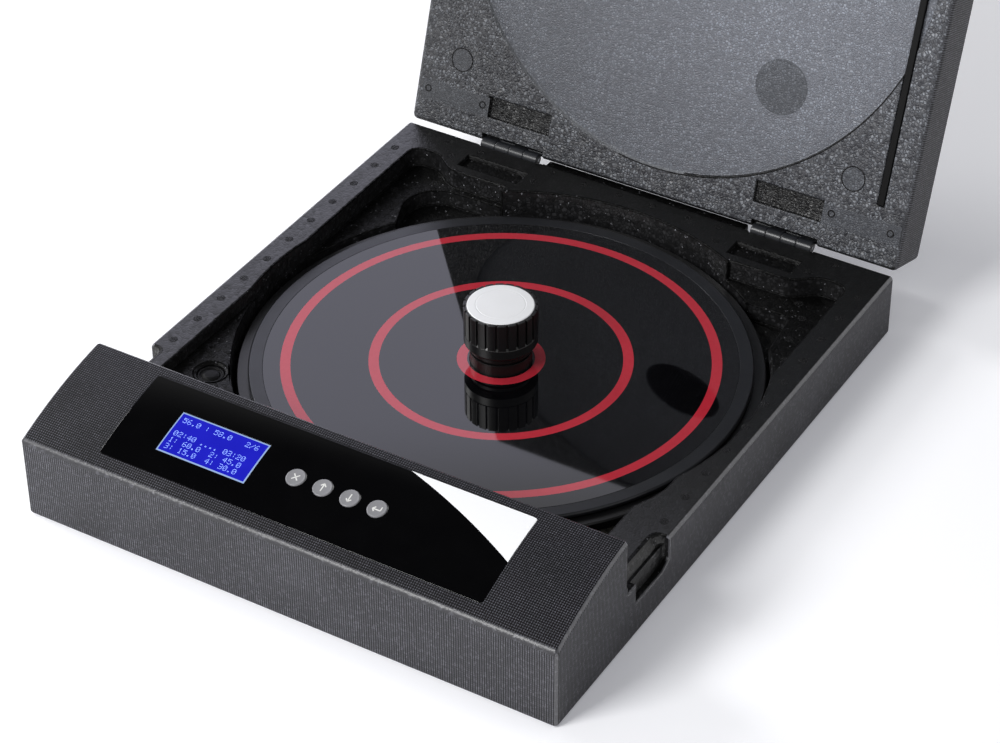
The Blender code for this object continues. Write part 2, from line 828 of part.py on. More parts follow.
def make_electronics(surfaces):
    """Display module, control board on its tray, and a switch under each key."""
    module_x = around(window_centre_x, window_width + 2 * module_margin)
    module_y = around(window_centre_up_slope, window_length + 2 * module_margin)
    put(box(module_x, module_y, (module_top - module_thickness, module_top)), "display_module",
        surfaces["steel"], panel_frame)
    board = put(box(board_x, board_along, (board_bottom, board_top)), "control_board", surfaces["board"],
                panel_frame)
    tray = put(box((tray_x[0] + seat_gap, tray_x[1] - seat_gap),
                   (bay_along[0] + seat_gap, bay_along[1] - seat_gap),
                   (tray_bottom, tray_bottom + tray_thickness)),
               "board_tray", surfaces["plastic"], panel_frame)
    screw_x = (board_x[0] + screw_inset, board_x[1] - screw_inset)
    screw_y = (board_along[0] + screw_inset, board_along[1] - screw_inset)
    shaft_end = board_top + seat_gap - screw_length
    head_top = board_top + seat_gap + screw_head_height
    screw = [(0, shaft_end), (screw_radius, shaft_end), (screw_radius, board_top + seat_gap),
             (screw_head_radius, board_top + seat_gap), (screw_head_radius, head_top), (0, head_top)]
    places = [(x, y) for x in screw_x for y in screw_y]
    for number, place in enumerate(places, 1):
        hole = screw_radius + seat_gap
        cut(board, cylinder(hole, board_bottom - cut_overrun, board_top + cut_overrun, tiny_segments, place))
        join(tray, cylinder(tray_post_radius, tray_bottom + tray_thickness / 2, board_bottom - seat_gap,
                            tiny_segments, place))
        cut(tray, cylinder(hole, shaft_end - seat_gap, board_bottom, tiny_segments, place))
        put(turned(screw, tiny_segments), "board_screw_%d" % number, surfaces["steel"], panel_frame,
            (*place, 0))
    key_bottom = key_proud - key_height
    plunger_top = key_bottom - key_travel - key_travel_margin
    for name, place in zip(key_names, key_places()):
        body = box(around(0, switch_width), around(0, switch_width),
                   (board_top + seat_gap, board_top + switch_height))
        switch = put(body, name.replace("key", "switch"), surfaces["plastic"], panel_frame, (*place, 0))
        plunger = cylinder(switch_plunger_radius, board_top + switch_height / 2, plunger_top, tiny_segments)
        join(switch, plunger)


def make_power(surfaces):
    """Power board in the bay under the tray, the inlet in the left side, and the leads."""
    middle_y = from_front(power_bay_from_front)
    board_range = (power_bay_x[0] + power_board_margin, power_bay_x[1] - power_board_margin)
    bottom = power_bay_floor + seat_gap
    top = bottom + power_board_thickness
    put(box(board_range, around(middle_y, power_bay_width - 2 * power_board_margin), (bottom, top)),
        "power_board", surfaces["board"])
    module_x = around(board_range[1] - power_module_from_end, power_module_length)
    module_z = (top + seat_gap, top + seat_gap + power_module_height)
    put(box(module_x, around(middle_y, power_module_width), module_z), "power_module", surfaces["plastic"])

    outer = -case_width / 2
    inlet_outline = rectangle(*around(middle_y, inlet_width), *around(inlet_centre_height, inlet_height))
    inlet = put(prism(inlet_outline, outer, outer + inlet_length, "X"), "power_inlet", surfaces["plastic"])
    socket = turned([(inlet_pin_radius, 0), (inlet_socket_radius, 0),
                     (inlet_socket_radius, inlet_socket_depth + cut_overrun),
                     (inlet_pin_radius, inlet_socket_depth + cut_overrun)], small_segments)
    for vertex in socket.verts:
        across, upward, outward = vertex.co
        vertex.co = (outer + inlet_socket_depth - outward, middle_y + across, inlet_centre_height + upward)
    bmesh.ops.recalc_face_normals(socket, faces=socket.faces)
    cut(inlet, socket)

    lead_start = (outer + inlet_length + seat_gap, middle_y, inlet_centre_height)
    lead_end = (board_range[0] + inlet_width, middle_y, top + seat_gap + lead_radius)
    lead_turn = (board_range[0] - inlet_width, middle_y, inlet_centre_height)
    lead("inlet_lead", [lead_start, lead_turn, lead_end], lead_radius, surfaces["lead"])
    mat_edge = well_centre_y - math.sqrt(mat_radius ** 2 - (heater_lead_x - well_centre_x) ** 2)
    far = (heater_lead_x, mat_edge - moving_gap, heater_lead_height)
    bay_side = middle_y + power_bay_width / 2
    bend = (heater_lead_x, bay_side, heater_lead_height)
    near = (heater_lead_x, bay_side - heater_lead_end_margin, top + moving_gap + heater_lead_radius)
    lead("heater_lead", [far, bend, near], heater_lead_radius, surfaces["lead"])


def lead(name, route, radius, surface):
    """A round lead along a smooth curve through its route's points."""
    points = []
    steps = 6
    padded = [route[0]] + list(route) + [route[-1]]
    for before, start, end, after in zip(padded, padded[1:], padded[2:], padded[3:]):
        for step in range(steps):
            t = step / steps
            point = []
            for a, b, c, d in zip(before, start, end, after):
                point.append(b + t * (c - a) / 2 + t * t * (a - 5 * b / 2 + 2 * c - d / 2)
                             + t ** 3 * (3 * (b - c) + d - a) / 2)
            points.append(point)
    points.append(route[-1])
    data = bpy.data.curves.new(name, "CURVE")
    data.dimensions = "3D"
    data.bevel_depth = radius
    data.bevel_resolution = 2
    data.use_fill_caps = True
    spline = data.splines.new("POLY")
    spline.points.add(len(points) - 1)
    for target, point in zip(spline.points, points):
        target.co = (*point, 1)
    data.materials.append(surface)
    bpy.context.collection.objects.link(bpy.data.objects.new(name, data))


# Heated plates, all about the well's axis

def make_heater(surfaces):
    """Insulation, mat and heater plate, on standoffs from the case's floor."""
    insulation = put(cylinder(insulation_radius, insulation_bottom, insulation_top, plate_segments),
                     "insulation_disc", surfaces["insulation"], plate_axis)
    mat = put(cylinder(mat_radius, mat_bottom, mat_top, plate_segments), "heater_mat", surfaces["mat"],
              plate_axis)
    chamfer = heater_plate_chamfer
    shoulder_seat = heater_plate_top - spindle_shoulder_height - seat_gap
    profile = [(bore_radius, heater_plate_bottom), (heater_plate_radius, heater_plate_bottom),
               (heater_plate_radius, heater_plate_top - chamfer),
               (heater_plate_radius - chamfer, heater_plate_top),
               (spindle_shoulder_radius + seat_gap, heater_plate_top),
               (spindle_shoulder_radius + seat_gap, shoulder_seat), (bore_radius, shoulder_seat)]
    put(turned(profile, plate_segments), "heater_plate", surfaces["plate"], plate_axis)

    for number in range(standoff_count):
        angle = math.pi * (2 * number + 1) / standoff_count
        place = (standoff_circle_radius * math.cos(angle), standoff_circle_radius * math.sin(angle))
        cut(insulation, cylinder(standoff_radius + seat_gap, insulation_bottom - cut_overrun,
                                 insulation_top + cut_overrun, small_segments, place))
        put(cylinder(standoff_radius, insulation_bottom, heater_plate_bottom - seat_gap, small_segments),
            "plate_standoff_%d" % (number + 1), surfaces["rubber"], plate_axis, (*place, 0))

    sensor_top = heater_plate_bottom - seat_gap
    sensor_bottom = mat_bottom - sensor_drop
    across = around(sensor_distance, sensor_width)
    wide = around(sensor_distance, sensor_width + 2 * seat_gap)
    along = around(0, sensor_width)
    long = around(0, sensor_width + 2 * seat_gap)
    cut(insulation, box(wide, long, (sensor_bottom - seat_gap, insulation_top + cut_overrun)))
    cut(mat, box(wide, long, (mat_bottom - cut_overrun, mat_top + cut_overrun)))
    put(box(across, along, (sensor_bottom, sensor_top)), "temperature_sensor", surfaces["plastic"],
        plate_axis)

    # Room for the spindle's nut
    nut_radius = nut_across_flats / 2 / math.cos(math.pi / 6)
    nut_top = heater_plate_bottom - seat_gap
    nut_bottom = nut_top - nut_height
    clear = nut_radius + seat_gap
    spindle_bottom = nut_bottom - spindle_end
    cut(insulation, cylinder(clear, spindle_bottom - seat_gap, insulation_top + cut_overrun, small_segments))
    cut(mat, cylinder(clear, mat_bottom - cut_overrun, mat_top + cut_overrun, small_segments))
    nut = put(cylinder(nut_radius, nut_bottom, nut_top, 6), "spindle_nut", surfaces["steel"], plate_axis)
    cut(nut, cylinder(bore_radius, nut_bottom - cut_overrun, nut_top + cut_overrun, small_segments))
    tip = spindle_radius / 2
    spindle = [(0, spindle_bottom), (spindle_radius, spindle_bottom),
               (spindle_radius, shoulder_seat + seat_gap),
               (spindle_shoulder_radius, shoulder_seat + seat_gap),
               (spindle_shoulder_radius, heater_plate_top), (spindle_radius, heater_plate_top),
               (spindle_radius, spindle_top - tip), (tip, spindle_top), (0, spindle_top)]
    put(turned(spindle, small_segments), "centre_spindle", surfaces["steel"], plate_axis)


def make_press_plate(surfaces):
    """Pad, plate, glossy face and the stem screwed on from below."""
    pad = put(tube(bore_radius, pad_radius, pad_bottom, pad_top, plate_segments), "press_pad",
              surfaces["rubber"], plate_axis)
    chamfer = press_plate_chamfer
    profile = [(bore_radius, press_plate_bottom), (press_plate_radius, press_plate_bottom),
               (press_plate_radius, press_plate_top - chamfer),
               (press_plate_radius - chamfer, press_plate_top),
               (face_radius + seat_gap, press_plate_top), (face_radius + seat_gap, face_seat),
               (bore_radius, face_seat)]
    plate = put(turned(profile, plate_segments), "press_plate", surfaces["plate"], plate_axis)
    put(tube(hub_radius + seat_gap, face_radius, face_seat + seat_gap, press_plate_top, plate_segments),
        "gloss_face", surfaces["face"], plate_axis)
    hub_profile = [(bore_radius, hub_bottom), (hub_radius, hub_bottom),
                   (hub_radius, hub_top - hub_edge_round), (hub_radius - hub_edge_round, hub_top),
                   (bore_radius, hub_top)]
    hub = put(turned(hub_profile, knob_segments), "plate_stem", surfaces["knob"], plate_axis)

    head_top = press_plate_bottom - seat_gap
    screw_top = hub_bottom + hub_screw_length
    screw = [(0, pad_bottom), (hub_screw_head_radius, pad_bottom), (hub_screw_head_radius, head_top),
             (hub_screw_radius, head_top), (hub_screw_radius, screw_top), (0, screw_top)]
    hole = hub_screw_radius + seat_gap
    for number in range(hub_screw_count):
        angle = 2 * math.pi * number / hub_screw_count
        place = (hub_screw_circle_radius * math.cos(angle), hub_screw_circle_radius * math.sin(angle))
        cut(pad, cylinder(hub_screw_head_radius + seat_gap, pad_bottom - cut_overrun, pad_top + cut_overrun,
                          tiny_segments, place))
        cut(plate, cylinder(hole, press_plate_bottom - cut_overrun, face_seat + cut_overrun, tiny_segments,
                            place))
        cut(hub, cylinder(hole, hub_bottom - cut_overrun, screw_top + seat_gap, tiny_segments, place))
        put(turned(screw, tiny_segments), "stem_screw_%d" % (number + 1), surfaces["steel"], plate_axis,
            (*place, 0))


def make_clamp(surfaces):
    """The washer and collar that rise with the knob but don't turn."""
    put(tube(bore_radius, washer_radius, washer_bottom, washer_top, knob_segments), "thrust_washer",
        surfaces["steel"], plate_axis)
    put(tube(bore_radius, collar_radius, collar_bottom, collar_top, knob_segments), "clamp_collar",
        surfaces["knob"], plate_axis)


def knob_ring(height, inset, groove=1.0):
    """The outline of the knob at one height, plain where the share of the groove's depth is zero."""
    ring = []
    pitch = 2 * math.pi / knob_rib_count
    for rib in range(knob_rib_count):
        for along, depth in knob_groove_shares:
            angle = pitch * (rib + along)
            radius = knob_radius - inset - knob_groove_depth * depth * groove
            ring.append((radius * math.cos(angle), radius * math.sin(angle), height))
    return ring


def make_knob(surfaces):
    band_top = knob_bottom + knob_band_height
    rings = [knob_ring(knob_bottom, knob_bottom_chamfer, 0), knob_ring(knob_bottom + knob_bottom_chamfer, 0, 0),
             knob_ring(band_top, 0, 0), knob_ring(band_top + knob_groove_foot, 0),
             knob_ring(knob_top - knob_top_chamfer, 0), knob_ring(knob_top, knob_top_chamfer / 2)]
    grip = put(lofted(rings), "knob_grip", surfaces["knob"], plate_axis)
    cut(grip, cylinder(cap_radius + seat_gap, cap_bottom - seat_gap, knob_top + cut_overrun, knob_segments))
    insert_top = knob_bottom + insert_height
    hollow_top = knob_bottom + knob_hollow_height
    spindle_room = max(spindle_top + seat_gap, insert_top + seat_gap)
    bore = [(0, knob_bottom - cut_overrun), (insert_radius + seat_gap, knob_bottom - cut_overrun),
            (insert_radius + seat_gap, insert_top + seat_gap), (bore_radius, insert_top + seat_gap),
            (bore_radius, spindle_room), (0, spindle_room)]
    cut(grip, turned(bore, small_segments))
    hollow_outer = knob_radius - knob_groove_depth - knob_wall
    cut(grip, tube(knob_hollow_inner_radius, hollow_outer, knob_bottom - cut_overrun, hollow_top,
                   knob_segments))
    put(tube(bore_radius, insert_radius, knob_bottom, insert_top, small_segments), "threaded_insert",
        surfaces["brass"], plate_axis)
    dome = cap_top - cap_dome
    cap = [(0, cap_bottom), (cap_radius, cap_bottom), (cap_radius, dome - cap_edge_round),
           (cap_radius - cap_edge_round, dome), (cap_radius / 2, cap_top - cap_dome / 4), (0, cap_top)]
    put(turned(cap, knob_segments), "knob_cap", surfaces["cap"], plate_axis)


# Hinges, in the frame of their axis, with the lid as it lies when closed

def knuckle_outline(upward):
    """Barrel and web of one knuckle in the YZ plane, its web going up for the lid and down for the case."""
    outline = [(-leaf_from_axis, -leaf_web), (-leaf_from_axis - leaf_thickness, -leaf_web)]
    outline += arc(0, 0, barrel_radius, math.pi, -math.acos(-leaf_from_axis / barrel_radius), barrel_steps)
    return [(y, -z * upward) for y, z in outline]


def make_leaf(name, side, first, upward, parent, surface, origin):
    """A hinge leaf: a plate let into the foam and every other knuckle."""
    offset_y, offset_z = origin
    outline = rectangle(-leaf_from_axis - leaf_thickness, -leaf_from_axis,
                        *sorted((upward * leaf_web / 2, upward * leaf_length)))
    moved = [(y + offset_y, z + offset_z) for y, z in outline]
    leaf = put(prism(moved, *sorted((side * hinge_inner, side * hinge_outer)), "X"), name, surface, parent)
    for number in range(first, knuckle_count, 2):
        start = hinge_inner + number * knuckle_length + seat_gap / 2
        end = start + knuckle_length - seat_gap
        moved = [(y + offset_y, z + offset_z) for y, z in knuckle_outline(upward)]
        join(leaf, prism(moved, *sorted((side * start, side * end)), "X"))
    hole = [(y + offset_y, z + offset_z)
            for y, z in arc(0, 0, pin_radius + seat_gap, 0, 2 * math.pi, tiny_segments)[:-1]]
    span = (hinge_inner - cut_overrun, hinge_outer + cut_overrun)
    cut(leaf, prism(hole, *sorted((side * span[0], side * span[1])), "X"))


def make_hinges(surfaces):
    for side, word in ((-1, "left"), (1, "right")):
        make_leaf("base_leaf_" + word, side, 0, -1, None, surfaces["hinge"], (hinge_axis_y, hinge_axis_z))
        make_leaf("lid_leaf_" + word, side, 1, 1, lid_axis, surfaces["hinge"], (0, 0))
        pin = [(y + hinge_axis_y, z + hinge_axis_z)
               for y, z in arc(0, 0, pin_radius, 0, 2 * math.pi, tiny_segments)[:-1]]
        put(prism(pin, *sorted((side * hinge_inner, side * hinge_outer)), "X"), "hinge_pin_" + word,
            surfaces["steel"])


# Lid, in the frame of the hinge axis, as it lies when closed

def lid_y(distance):
    """Y in the lid's frame of a place measured from its hinge edge."""
    return -hinge_behind_case - distance


def make_lid(surfaces):
    inner = parting_gap / 2
    outer = inner + lid_thickness
    body = box((-case_width / 2, case_width / 2), (lid_y(lid_length), lid_y(0)), (inner, outer))
    round_edges(body, lid_edge_round, 2)
    lid = put(body, "lid_shell", surfaces["foam"], lid_axis)
    low = inner - cut_overrun
    centre = (well_centre_x, well_centre_y - hinge_axis_y)
    edge = lid_y(lid_length - lid_recess_from_front)
    recess = []
    for x, y in arc(*centre, well_radius + lid_recess_extra, 0, 2 * math.pi, plate_segments)[:-1]:
        recess.append((x, max(y, edge)))
    cut(lid, prism(recess, low, inner + lid_recess_depth))
    pocket_roof = cap_top + lid_knob_headroom - hinge_axis_z
    pocket = [(0, low), (lid_knob_pocket_radius, low),
              (lid_knob_pocket_radius - lid_pocket_draft, pocket_roof), (0, pocket_roof)]
    cut(lid, turned(pocket, knob_segments, centre))

    leaf_outer = leaf_from_axis + leaf_thickness
    for side in (-1, 1):
        across = sorted((side * (hinge_inner - hinge_recess_inner_overhang),
                         side * (hinge_outer + hinge_recess_outer_overhang)))
        far = lid_y(hinge_recess_from_edge + hinge_recess_length)
        cut(lid, box(across, (far, lid_y(hinge_recess_from_edge)), (low, inner + hinge_recess_depth)))
        rebate = sorted((side * (hinge_inner - rebate_side_gap), side * (hinge_outer + rebate_side_gap)))
        cut(lid, box(rebate, (-lid_rebate_reach, cut_overrun), (low, inner + rebate_height)))
        slot = sorted((side * (hinge_inner - seat_gap), side * (hinge_outer + seat_gap)))
        cut(lid, box(slot, (-leaf_outer - seat_gap, -leaf_from_axis + seat_gap),
                     (inner, leaf_length + seat_gap)))

    strip_x = case_width / 2 - strip_from_side
    strip_along = (lid_y(lid_length - strip_end_margin), lid_y(strip_start))
    groove = (strip_along[0] - seat_gap, strip_along[1] + seat_gap)
    cut(lid, box(around(strip_x, strip_width + 2 * seat_gap), groove, (low, inner + strip_height + seat_gap)))
    put(box(around(strip_x, strip_width), strip_along, (inner, inner + strip_height)), "side_strip",
        surfaces["rubber"], lid_axis)


# Sizes that the pieces above share

plug_bottom = front_pocket_floor - plug_below_floor - plug_height
plug_top = plug_bottom + plug_height
module_top = -panel_thickness - console_drop(window_length / 2 + module_margin) - seat_gap
board_top = module_top - module_thickness - seat_gap
board_bottom = board_top - board_thickness
tray_bottom = board_bottom - seat_gap - tray_post_height - tray_thickness
bay_along = around(panel_centre_up_slope, panel_length - 2 * bay_margin)
board_along = around(panel_centre_up_slope, panel_length - 2 * (bay_margin + board_side_margin / 2))
tray_x = around(panel_centre_x, panel_width - 2 * board_end_margin)
board_x = (tray_x[0] + seat_gap + screw_inset, tray_x[1] - board_right_margin)
power_bay_left = inlet_length + inlet_lead_room - case_width / 2
power_bay_x = (power_bay_left, power_bay_left + power_bay_length)
heater_lead_x = power_bay_x[1] - heater_lead_from_bay_end
heater_lead_height = (insulation_top + heater_plate_bottom) / 2


for old in list(bpy.data.objects):
    bpy.data.objects.remove(old, do_unlink=True)

panel_distance, panel_height = slope_point(0)
panel_frame = empty("panel_frame", (0, from_front(panel_distance), panel_height), slope)
plate_axis = empty("plate_axis", (well_centre_x, well_centre_y, 0))
lid_axis = empty("lid_axis", (0, hinge_axis_y, hinge_axis_z), -lid_open_angle)

surfaces = make_materials()
make_case(surfaces)
make_plug(surfaces)
make_panel(surfaces)
make_keys(surfaces)
make_electronics(surfaces)
make_power(surfaces)
make_heater(surfaces)
make_press_plate(surfaces)
make_clamp(surfaces)
make_knob(surfaces)
make_hinges(surfaces)
make_lid(surfaces)
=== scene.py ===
# %% [markdown]
# # A record flattener
# The object is a hinged case of moulded black bead foam. Two round plates in it press a warped record flat
# while a mat under them heats it. A threaded knob on the centre spindle closes the plates, and a glossy
# control panel lies on the sloped console at the front.
#
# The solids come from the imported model. This script dresses them: foam with rounded edges and beads that
# show, turned plates, a ribbed knob, hinges with their barrels, and a panel with a lit display.

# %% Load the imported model
import json
import math

import bmesh
import bpy
from mathutils import Matrix, Vector
from mathutils.bvhtree import BVHTree

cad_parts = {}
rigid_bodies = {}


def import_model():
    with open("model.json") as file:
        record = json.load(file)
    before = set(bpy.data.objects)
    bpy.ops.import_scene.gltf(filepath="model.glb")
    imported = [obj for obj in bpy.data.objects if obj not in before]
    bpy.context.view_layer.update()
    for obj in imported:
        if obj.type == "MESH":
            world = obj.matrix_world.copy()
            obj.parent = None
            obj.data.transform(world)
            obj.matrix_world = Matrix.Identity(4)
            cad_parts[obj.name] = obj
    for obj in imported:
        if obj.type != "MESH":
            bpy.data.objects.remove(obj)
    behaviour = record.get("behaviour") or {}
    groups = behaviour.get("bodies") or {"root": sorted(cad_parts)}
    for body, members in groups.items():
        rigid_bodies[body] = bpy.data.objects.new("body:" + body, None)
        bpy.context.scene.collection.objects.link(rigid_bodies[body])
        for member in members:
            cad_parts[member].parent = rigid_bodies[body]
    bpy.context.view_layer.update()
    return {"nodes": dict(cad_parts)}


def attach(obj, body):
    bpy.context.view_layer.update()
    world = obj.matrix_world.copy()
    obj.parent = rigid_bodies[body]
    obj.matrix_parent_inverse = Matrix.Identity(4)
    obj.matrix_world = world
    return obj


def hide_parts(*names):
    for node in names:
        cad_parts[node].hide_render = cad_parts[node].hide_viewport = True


for old in list(bpy.data.objects):
    bpy.data.objects.remove(old, do_unlink=True)
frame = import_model()
scene = bpy.context.scene
mm = 0.001
degrees = math.pi / 180

# %% [markdown]
# ## Camera
# The photograph looks down at the case from the front right, from nearly two metres away, with a long lens.
# The camera's place and turn were worked out from the case's straight edges, so it is set by its place, its
# viewing direction and a small roll.

# %% Camera
camera_place = Vector((0.7659, -1.2332, 1.1303))
camera_back = Vector((0.41419, -0.68284, 0.60182)).normalized()
camera_roll = -0.42 * degrees
level_right = Vector((0, 0, 1)).cross(camera_back).normalized()
level_up = camera_back.cross(level_right)
camera_right = math.cos(camera_roll) * level_right + math.sin(camera_roll) * level_up
camera_up = math.cos(camera_roll) * level_up - math.sin(camera_roll) * level_right
lens = bpy.data.cameras.new("photo_camera")
lens.lens = 108.02
lens.sensor_width = 36
lens.clip_end = 60
camera = bpy.data.objects.new("photo_camera", lens)
turn = Matrix((camera_right, camera_up, camera_back)).transposed().to_4x4()
camera.matrix_world = Matrix.Translation(camera_place) @ turn
scene.collection.objects.link(camera)
scene.camera = camera
scene.view_settings.view_transform = "Standard"
print("the camera stands", round(camera_place.length, 2), "m from the case")


# %% Colours and nodes
def colour(hex_code):
    """An sRGB hex colour as the linear numbers that Blender's sockets take."""
    shares = [int(hex_code[i:i + 2], 16) / 255 for i in (1, 3, 5)]
    return (*[s / 12.92 if s <= 0.04045 else ((s + 0.055) / 1.055) ** 2.4 for s in shares], 1)


def node(tree, kind, settings=None, **inputs):
    """Adds a node. Settings are its properties, or only its operation. An input, by name or as i0, i1, is a
    value, a hex colour, an output, or a node, which stands for its first output."""
    whole_name = kind.startswith(("Geometry", "Function", "NodeGroup"))
    made = tree.nodes.new(kind if whole_name else "ShaderNode" + kind)
    if isinstance(settings, str):
        settings = {"operation": settings}
    for name, value in (settings or {}).items():
        setattr(made, name, value)
    for name, value in inputs.items():
        key = int(name[1:]) if name[0] == "i" and name[1:].isdigit() else name.replace("_", " ")
        if isinstance(value, bpy.types.Node):
            value = value.outputs[0]
        if isinstance(value, bpy.types.NodeSocket):
            tree.links.new(value, made.inputs[key])
        else:
            made.inputs[key].default_value = colour(value) if isinstance(value, str) else value
    return made


def new_material(name, roughness=0.5, sheen=0.5, metallic=0.0):
    """A material with its single numbers set, its tree, its shader and its Object coordinates."""
    made = bpy.data.materials.new(name)
    made.use_nodes = True
    tree = made.node_tree
    shader = tree.nodes["Principled BSDF"]
    numbers = {"Roughness": roughness, "IOR": 1.5, "Metallic": metallic, "Specular IOR Level": sheen}
    for word, value in numbers.items():
        shader.inputs[word].default_value = value
    return made, tree, shader, node(tree, "TexCoord").outputs["Object"]


def coat(tree, shader, mixed, height=None, depth=0.0, strength=1.0):
    """Gives the shader its colour and, from a height, its bump."""
    tree.links.new(mixed.outputs[0], shader.inputs["Base Color"])
    if height is not None:
        bump = node(tree, "Bump", Height=height, Distance=depth, Strength=strength)
        tree.links.new(bump.outputs[0], shader.inputs["Normal"])


def clouded(tree, place, size, dark, light, detail=3.0):
    """Two colours, mixed in soft clouds of a size."""
    cloud = node(tree, "TexNoise", Vector=place, Scale=1 / size, Detail=detail)
    return node(tree, "MixRGB", Fac=cloud, Color1=dark, Color2=light)


smooth_step = {"interpolation_type": "SMOOTHSTEP"}

# %% [markdown]
# ## Light
# The light is a plain white studio: a large soft lamp in front on the left, a weaker one on the left and pale
# surroundings. Black foam and gloss are told apart mostly by what they mirror, so the surroundings are bright
# near the horizon and dim overhead, with a lit bluish screen at the back left that the gloss disc mirrors.
# The camera sees pure white behind the case, and the floor keeps the case's shadow.

# %% World, lamps and floor
world = bpy.data.worlds.new("white_studio")
world.use_nodes = True
scene.world = world
sky = world.node_tree
sky.nodes.clear()
seen = node(sky, "LightPath").outputs
direction = node(sky, "TexCoord").outputs["Generated"]
height = node(sky, "SeparateXYZ", Vector=direction).outputs["Z"]
fall = node(sky, "MapRange", smooth_step, Value=height, From_Min=0.60, From_Max=0.84, To_Min=0.9, To_Max=0.03)
back_left = (-0.572, 0.82, 0)
ahead = node(sky, "VectorMath", "DOT_PRODUCT", i0=direction, i1=back_left).outputs["Value"]
screen_side = node(sky, "MapRange", smooth_step, Value=ahead, From_Min=0.55, From_Max=0.72)
screen_top = node(sky, "MapRange", smooth_step, Value=height, From_Min=0.612, From_Max=0.650, To_Min=1.0,
                  To_Max=0.0)
on_screen = node(sky, "Math", "MULTIPLY", i0=screen_side, i1=screen_top)
screen_light = (1.70, 1.70, 2.03, 1)
ambient_light = (0.38, 0.38, 0.38, 1)
mirrored = node(sky, "MixRGB", Fac=on_screen, Color1=fall, Color2=screen_light)
lit = node(sky, "MixRGB", Fac=seen["Is Glossy Ray"], Color1=ambient_light, Color2=mirrored)
shown = node(sky, "MixRGB", Fac=seen["Is Camera Ray"], Color1=lit, Color2=(1, 1, 1, 1))
node(sky, "OutputWorld", Surface=node(sky, "Background", Color=shown, Strength=1.0))


def soft_lamp(name, towards, distance, size, power):
    """A square area lamp in a direction from the middle of the case, turned to face it."""
    data = bpy.data.lights.new(name, "AREA")
    data.shape = "SQUARE"
    data.size = size
    data.energy = power
    lamp = bpy.data.objects.new(name, data)
    away = Vector(towards).normalized()
    facing_case = away.to_track_quat("Z", "Y").to_matrix().to_4x4()
    lamp.matrix_world = Matrix.Translation(away * distance) @ facing_case
    scene.collection.objects.link(lamp)


soft_lamp("front_lamp", (-0.305, -0.732, 0.61), 2.4, 0.9, 43)
soft_lamp("left_lamp", (-0.79, 0.05, 0.61), 2.4, 0.7, 22)

floor_size = 6.0
floor_glow = 0.19
half = floor_size / 2
floor_mesh = bpy.data.meshes.new("floor")
floor_corners = [(-half, -half, 0), (half, -half, 0), (half, half, 0), (-half, half, 0)]
floor_mesh.from_pydata(floor_corners, [], [(0, 1, 2, 3)])
floor = bpy.data.objects.new("floor", floor_mesh)
scene.collection.objects.link(floor)
paper, tree, shader, _ = new_material("white_paper", 0.9, sheen=0.0)
shader.inputs["Base Color"].default_value = colour("#F7F7F9")
shader.inputs["Emission Color"].default_value = colour("#E6E8F4")
glow = node(tree, "Math", "MULTIPLY", i0=node(tree, "LightPath").outputs["Is Camera Ray"], i1=floor_glow)
tree.links.new(glow.outputs[0], shader.inputs["Emission Strength"])
floor_mesh.materials.append(paper)

# %% [markdown]
# ## Places that the pieces share
# The plates, the stem, the collar and the knob turn about one upright axis. The panel, display and keys lie
# in the frame of the console's slope, and the console's top is an arc. The lid has its own frame: the hinge
# axis, turned by the opening angle. Working in these frames keeps each piece's numbers simple, and one
# matrix takes it to its place.

# %% Frames
plate_axis = Vector((3.0, 25.9, 0)) * mm
slope = 15.655 * degrees
panel_frame = Matrix.Translation(Vector((0, 38.44 - 211, 68.89)) * mm) @ Matrix.Rotation(slope, 4, "X")
console_radius = 278.43 * mm
lid_angle = -108.1 * degrees
lid_frame = Matrix.Translation(Vector((0, 211.8, 44.3)) * mm) @ Matrix.Rotation(lid_angle, 4, "X")


def console_drop(along):
    """How far the console's surface falls below the middle of its arc."""
    return console_radius - math.sqrt(console_radius ** 2 - along ** 2)


# %% [markdown]
# ## Making a piece
# Every piece starts as a bmesh. One helper turns it into an object that rides on its body, stands for the
# solids it covers and takes the finishes it is given. Flat faces keep true normals beside a rounded
# edge when the normals are weighted by area, so the helper ends with a Weighted Normal modifier and keeps its
# result as a plain mesh.

# %% Piece helpers
def evaluated(made):
    """Replaces an object's mesh by what its modifiers make of it."""
    graph = bpy.context.evaluated_depsgraph_get()
    before = made.data
    after = bpy.data.meshes.new_from_object(made.evaluated_get(graph))
    made.modifiers.clear()
    made.data = after
    bpy.data.meshes.remove(before)
    return made


def bare_object(name, bm):
    """An object from a bmesh, without any finish."""
    mesh = bpy.data.meshes.new(name)
    bm.to_mesh(mesh)
    bm.free()
    made = bpy.data.objects.new(name, mesh)
    scene.collection.objects.link(made)
    return made


def dressed(made, body, surfaces, stands_for=(), smooth_below=40):
    """Smooths a piece, gives it its materials, sets it on its body and hides the solids it stands for."""
    mesh = made.data
    for surface in surfaces:
        if surface.name not in mesh.materials:
            mesh.materials.append(surface)
    bm = bmesh.new()
    bm.from_mesh(mesh)
    for face in bm.faces:
        face.smooth = True
    for edge in bm.edges:
        edge.smooth = len(edge.link_faces) == 2 and edge.calc_face_angle() < smooth_below * degrees
    bm.to_mesh(mesh)
    bm.free()
    weighted = made.modifiers.new("weighted", "WEIGHTED_NORMAL")
    weighted.keep_sharp = True
    evaluated(made)
    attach(made, body)
    if stands_for:
        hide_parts(*stands_for)
    print(made.name, "has", len(made.data.polygons), "faces")
    return made


def joined_solid(name, weld=0.02 * mm):
    """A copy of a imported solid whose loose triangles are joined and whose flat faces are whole."""
    bm = bmesh.new()
    bm.from_mesh(frame["nodes"][name].data)
    bmesh.ops.remove_doubles(bm, verts=bm.verts, dist=weld)
    bmesh.ops.dissolve_limit(bm, angle_limit=0.3 * degrees, verts=bm.verts, edges=bm.edges)
    return bm


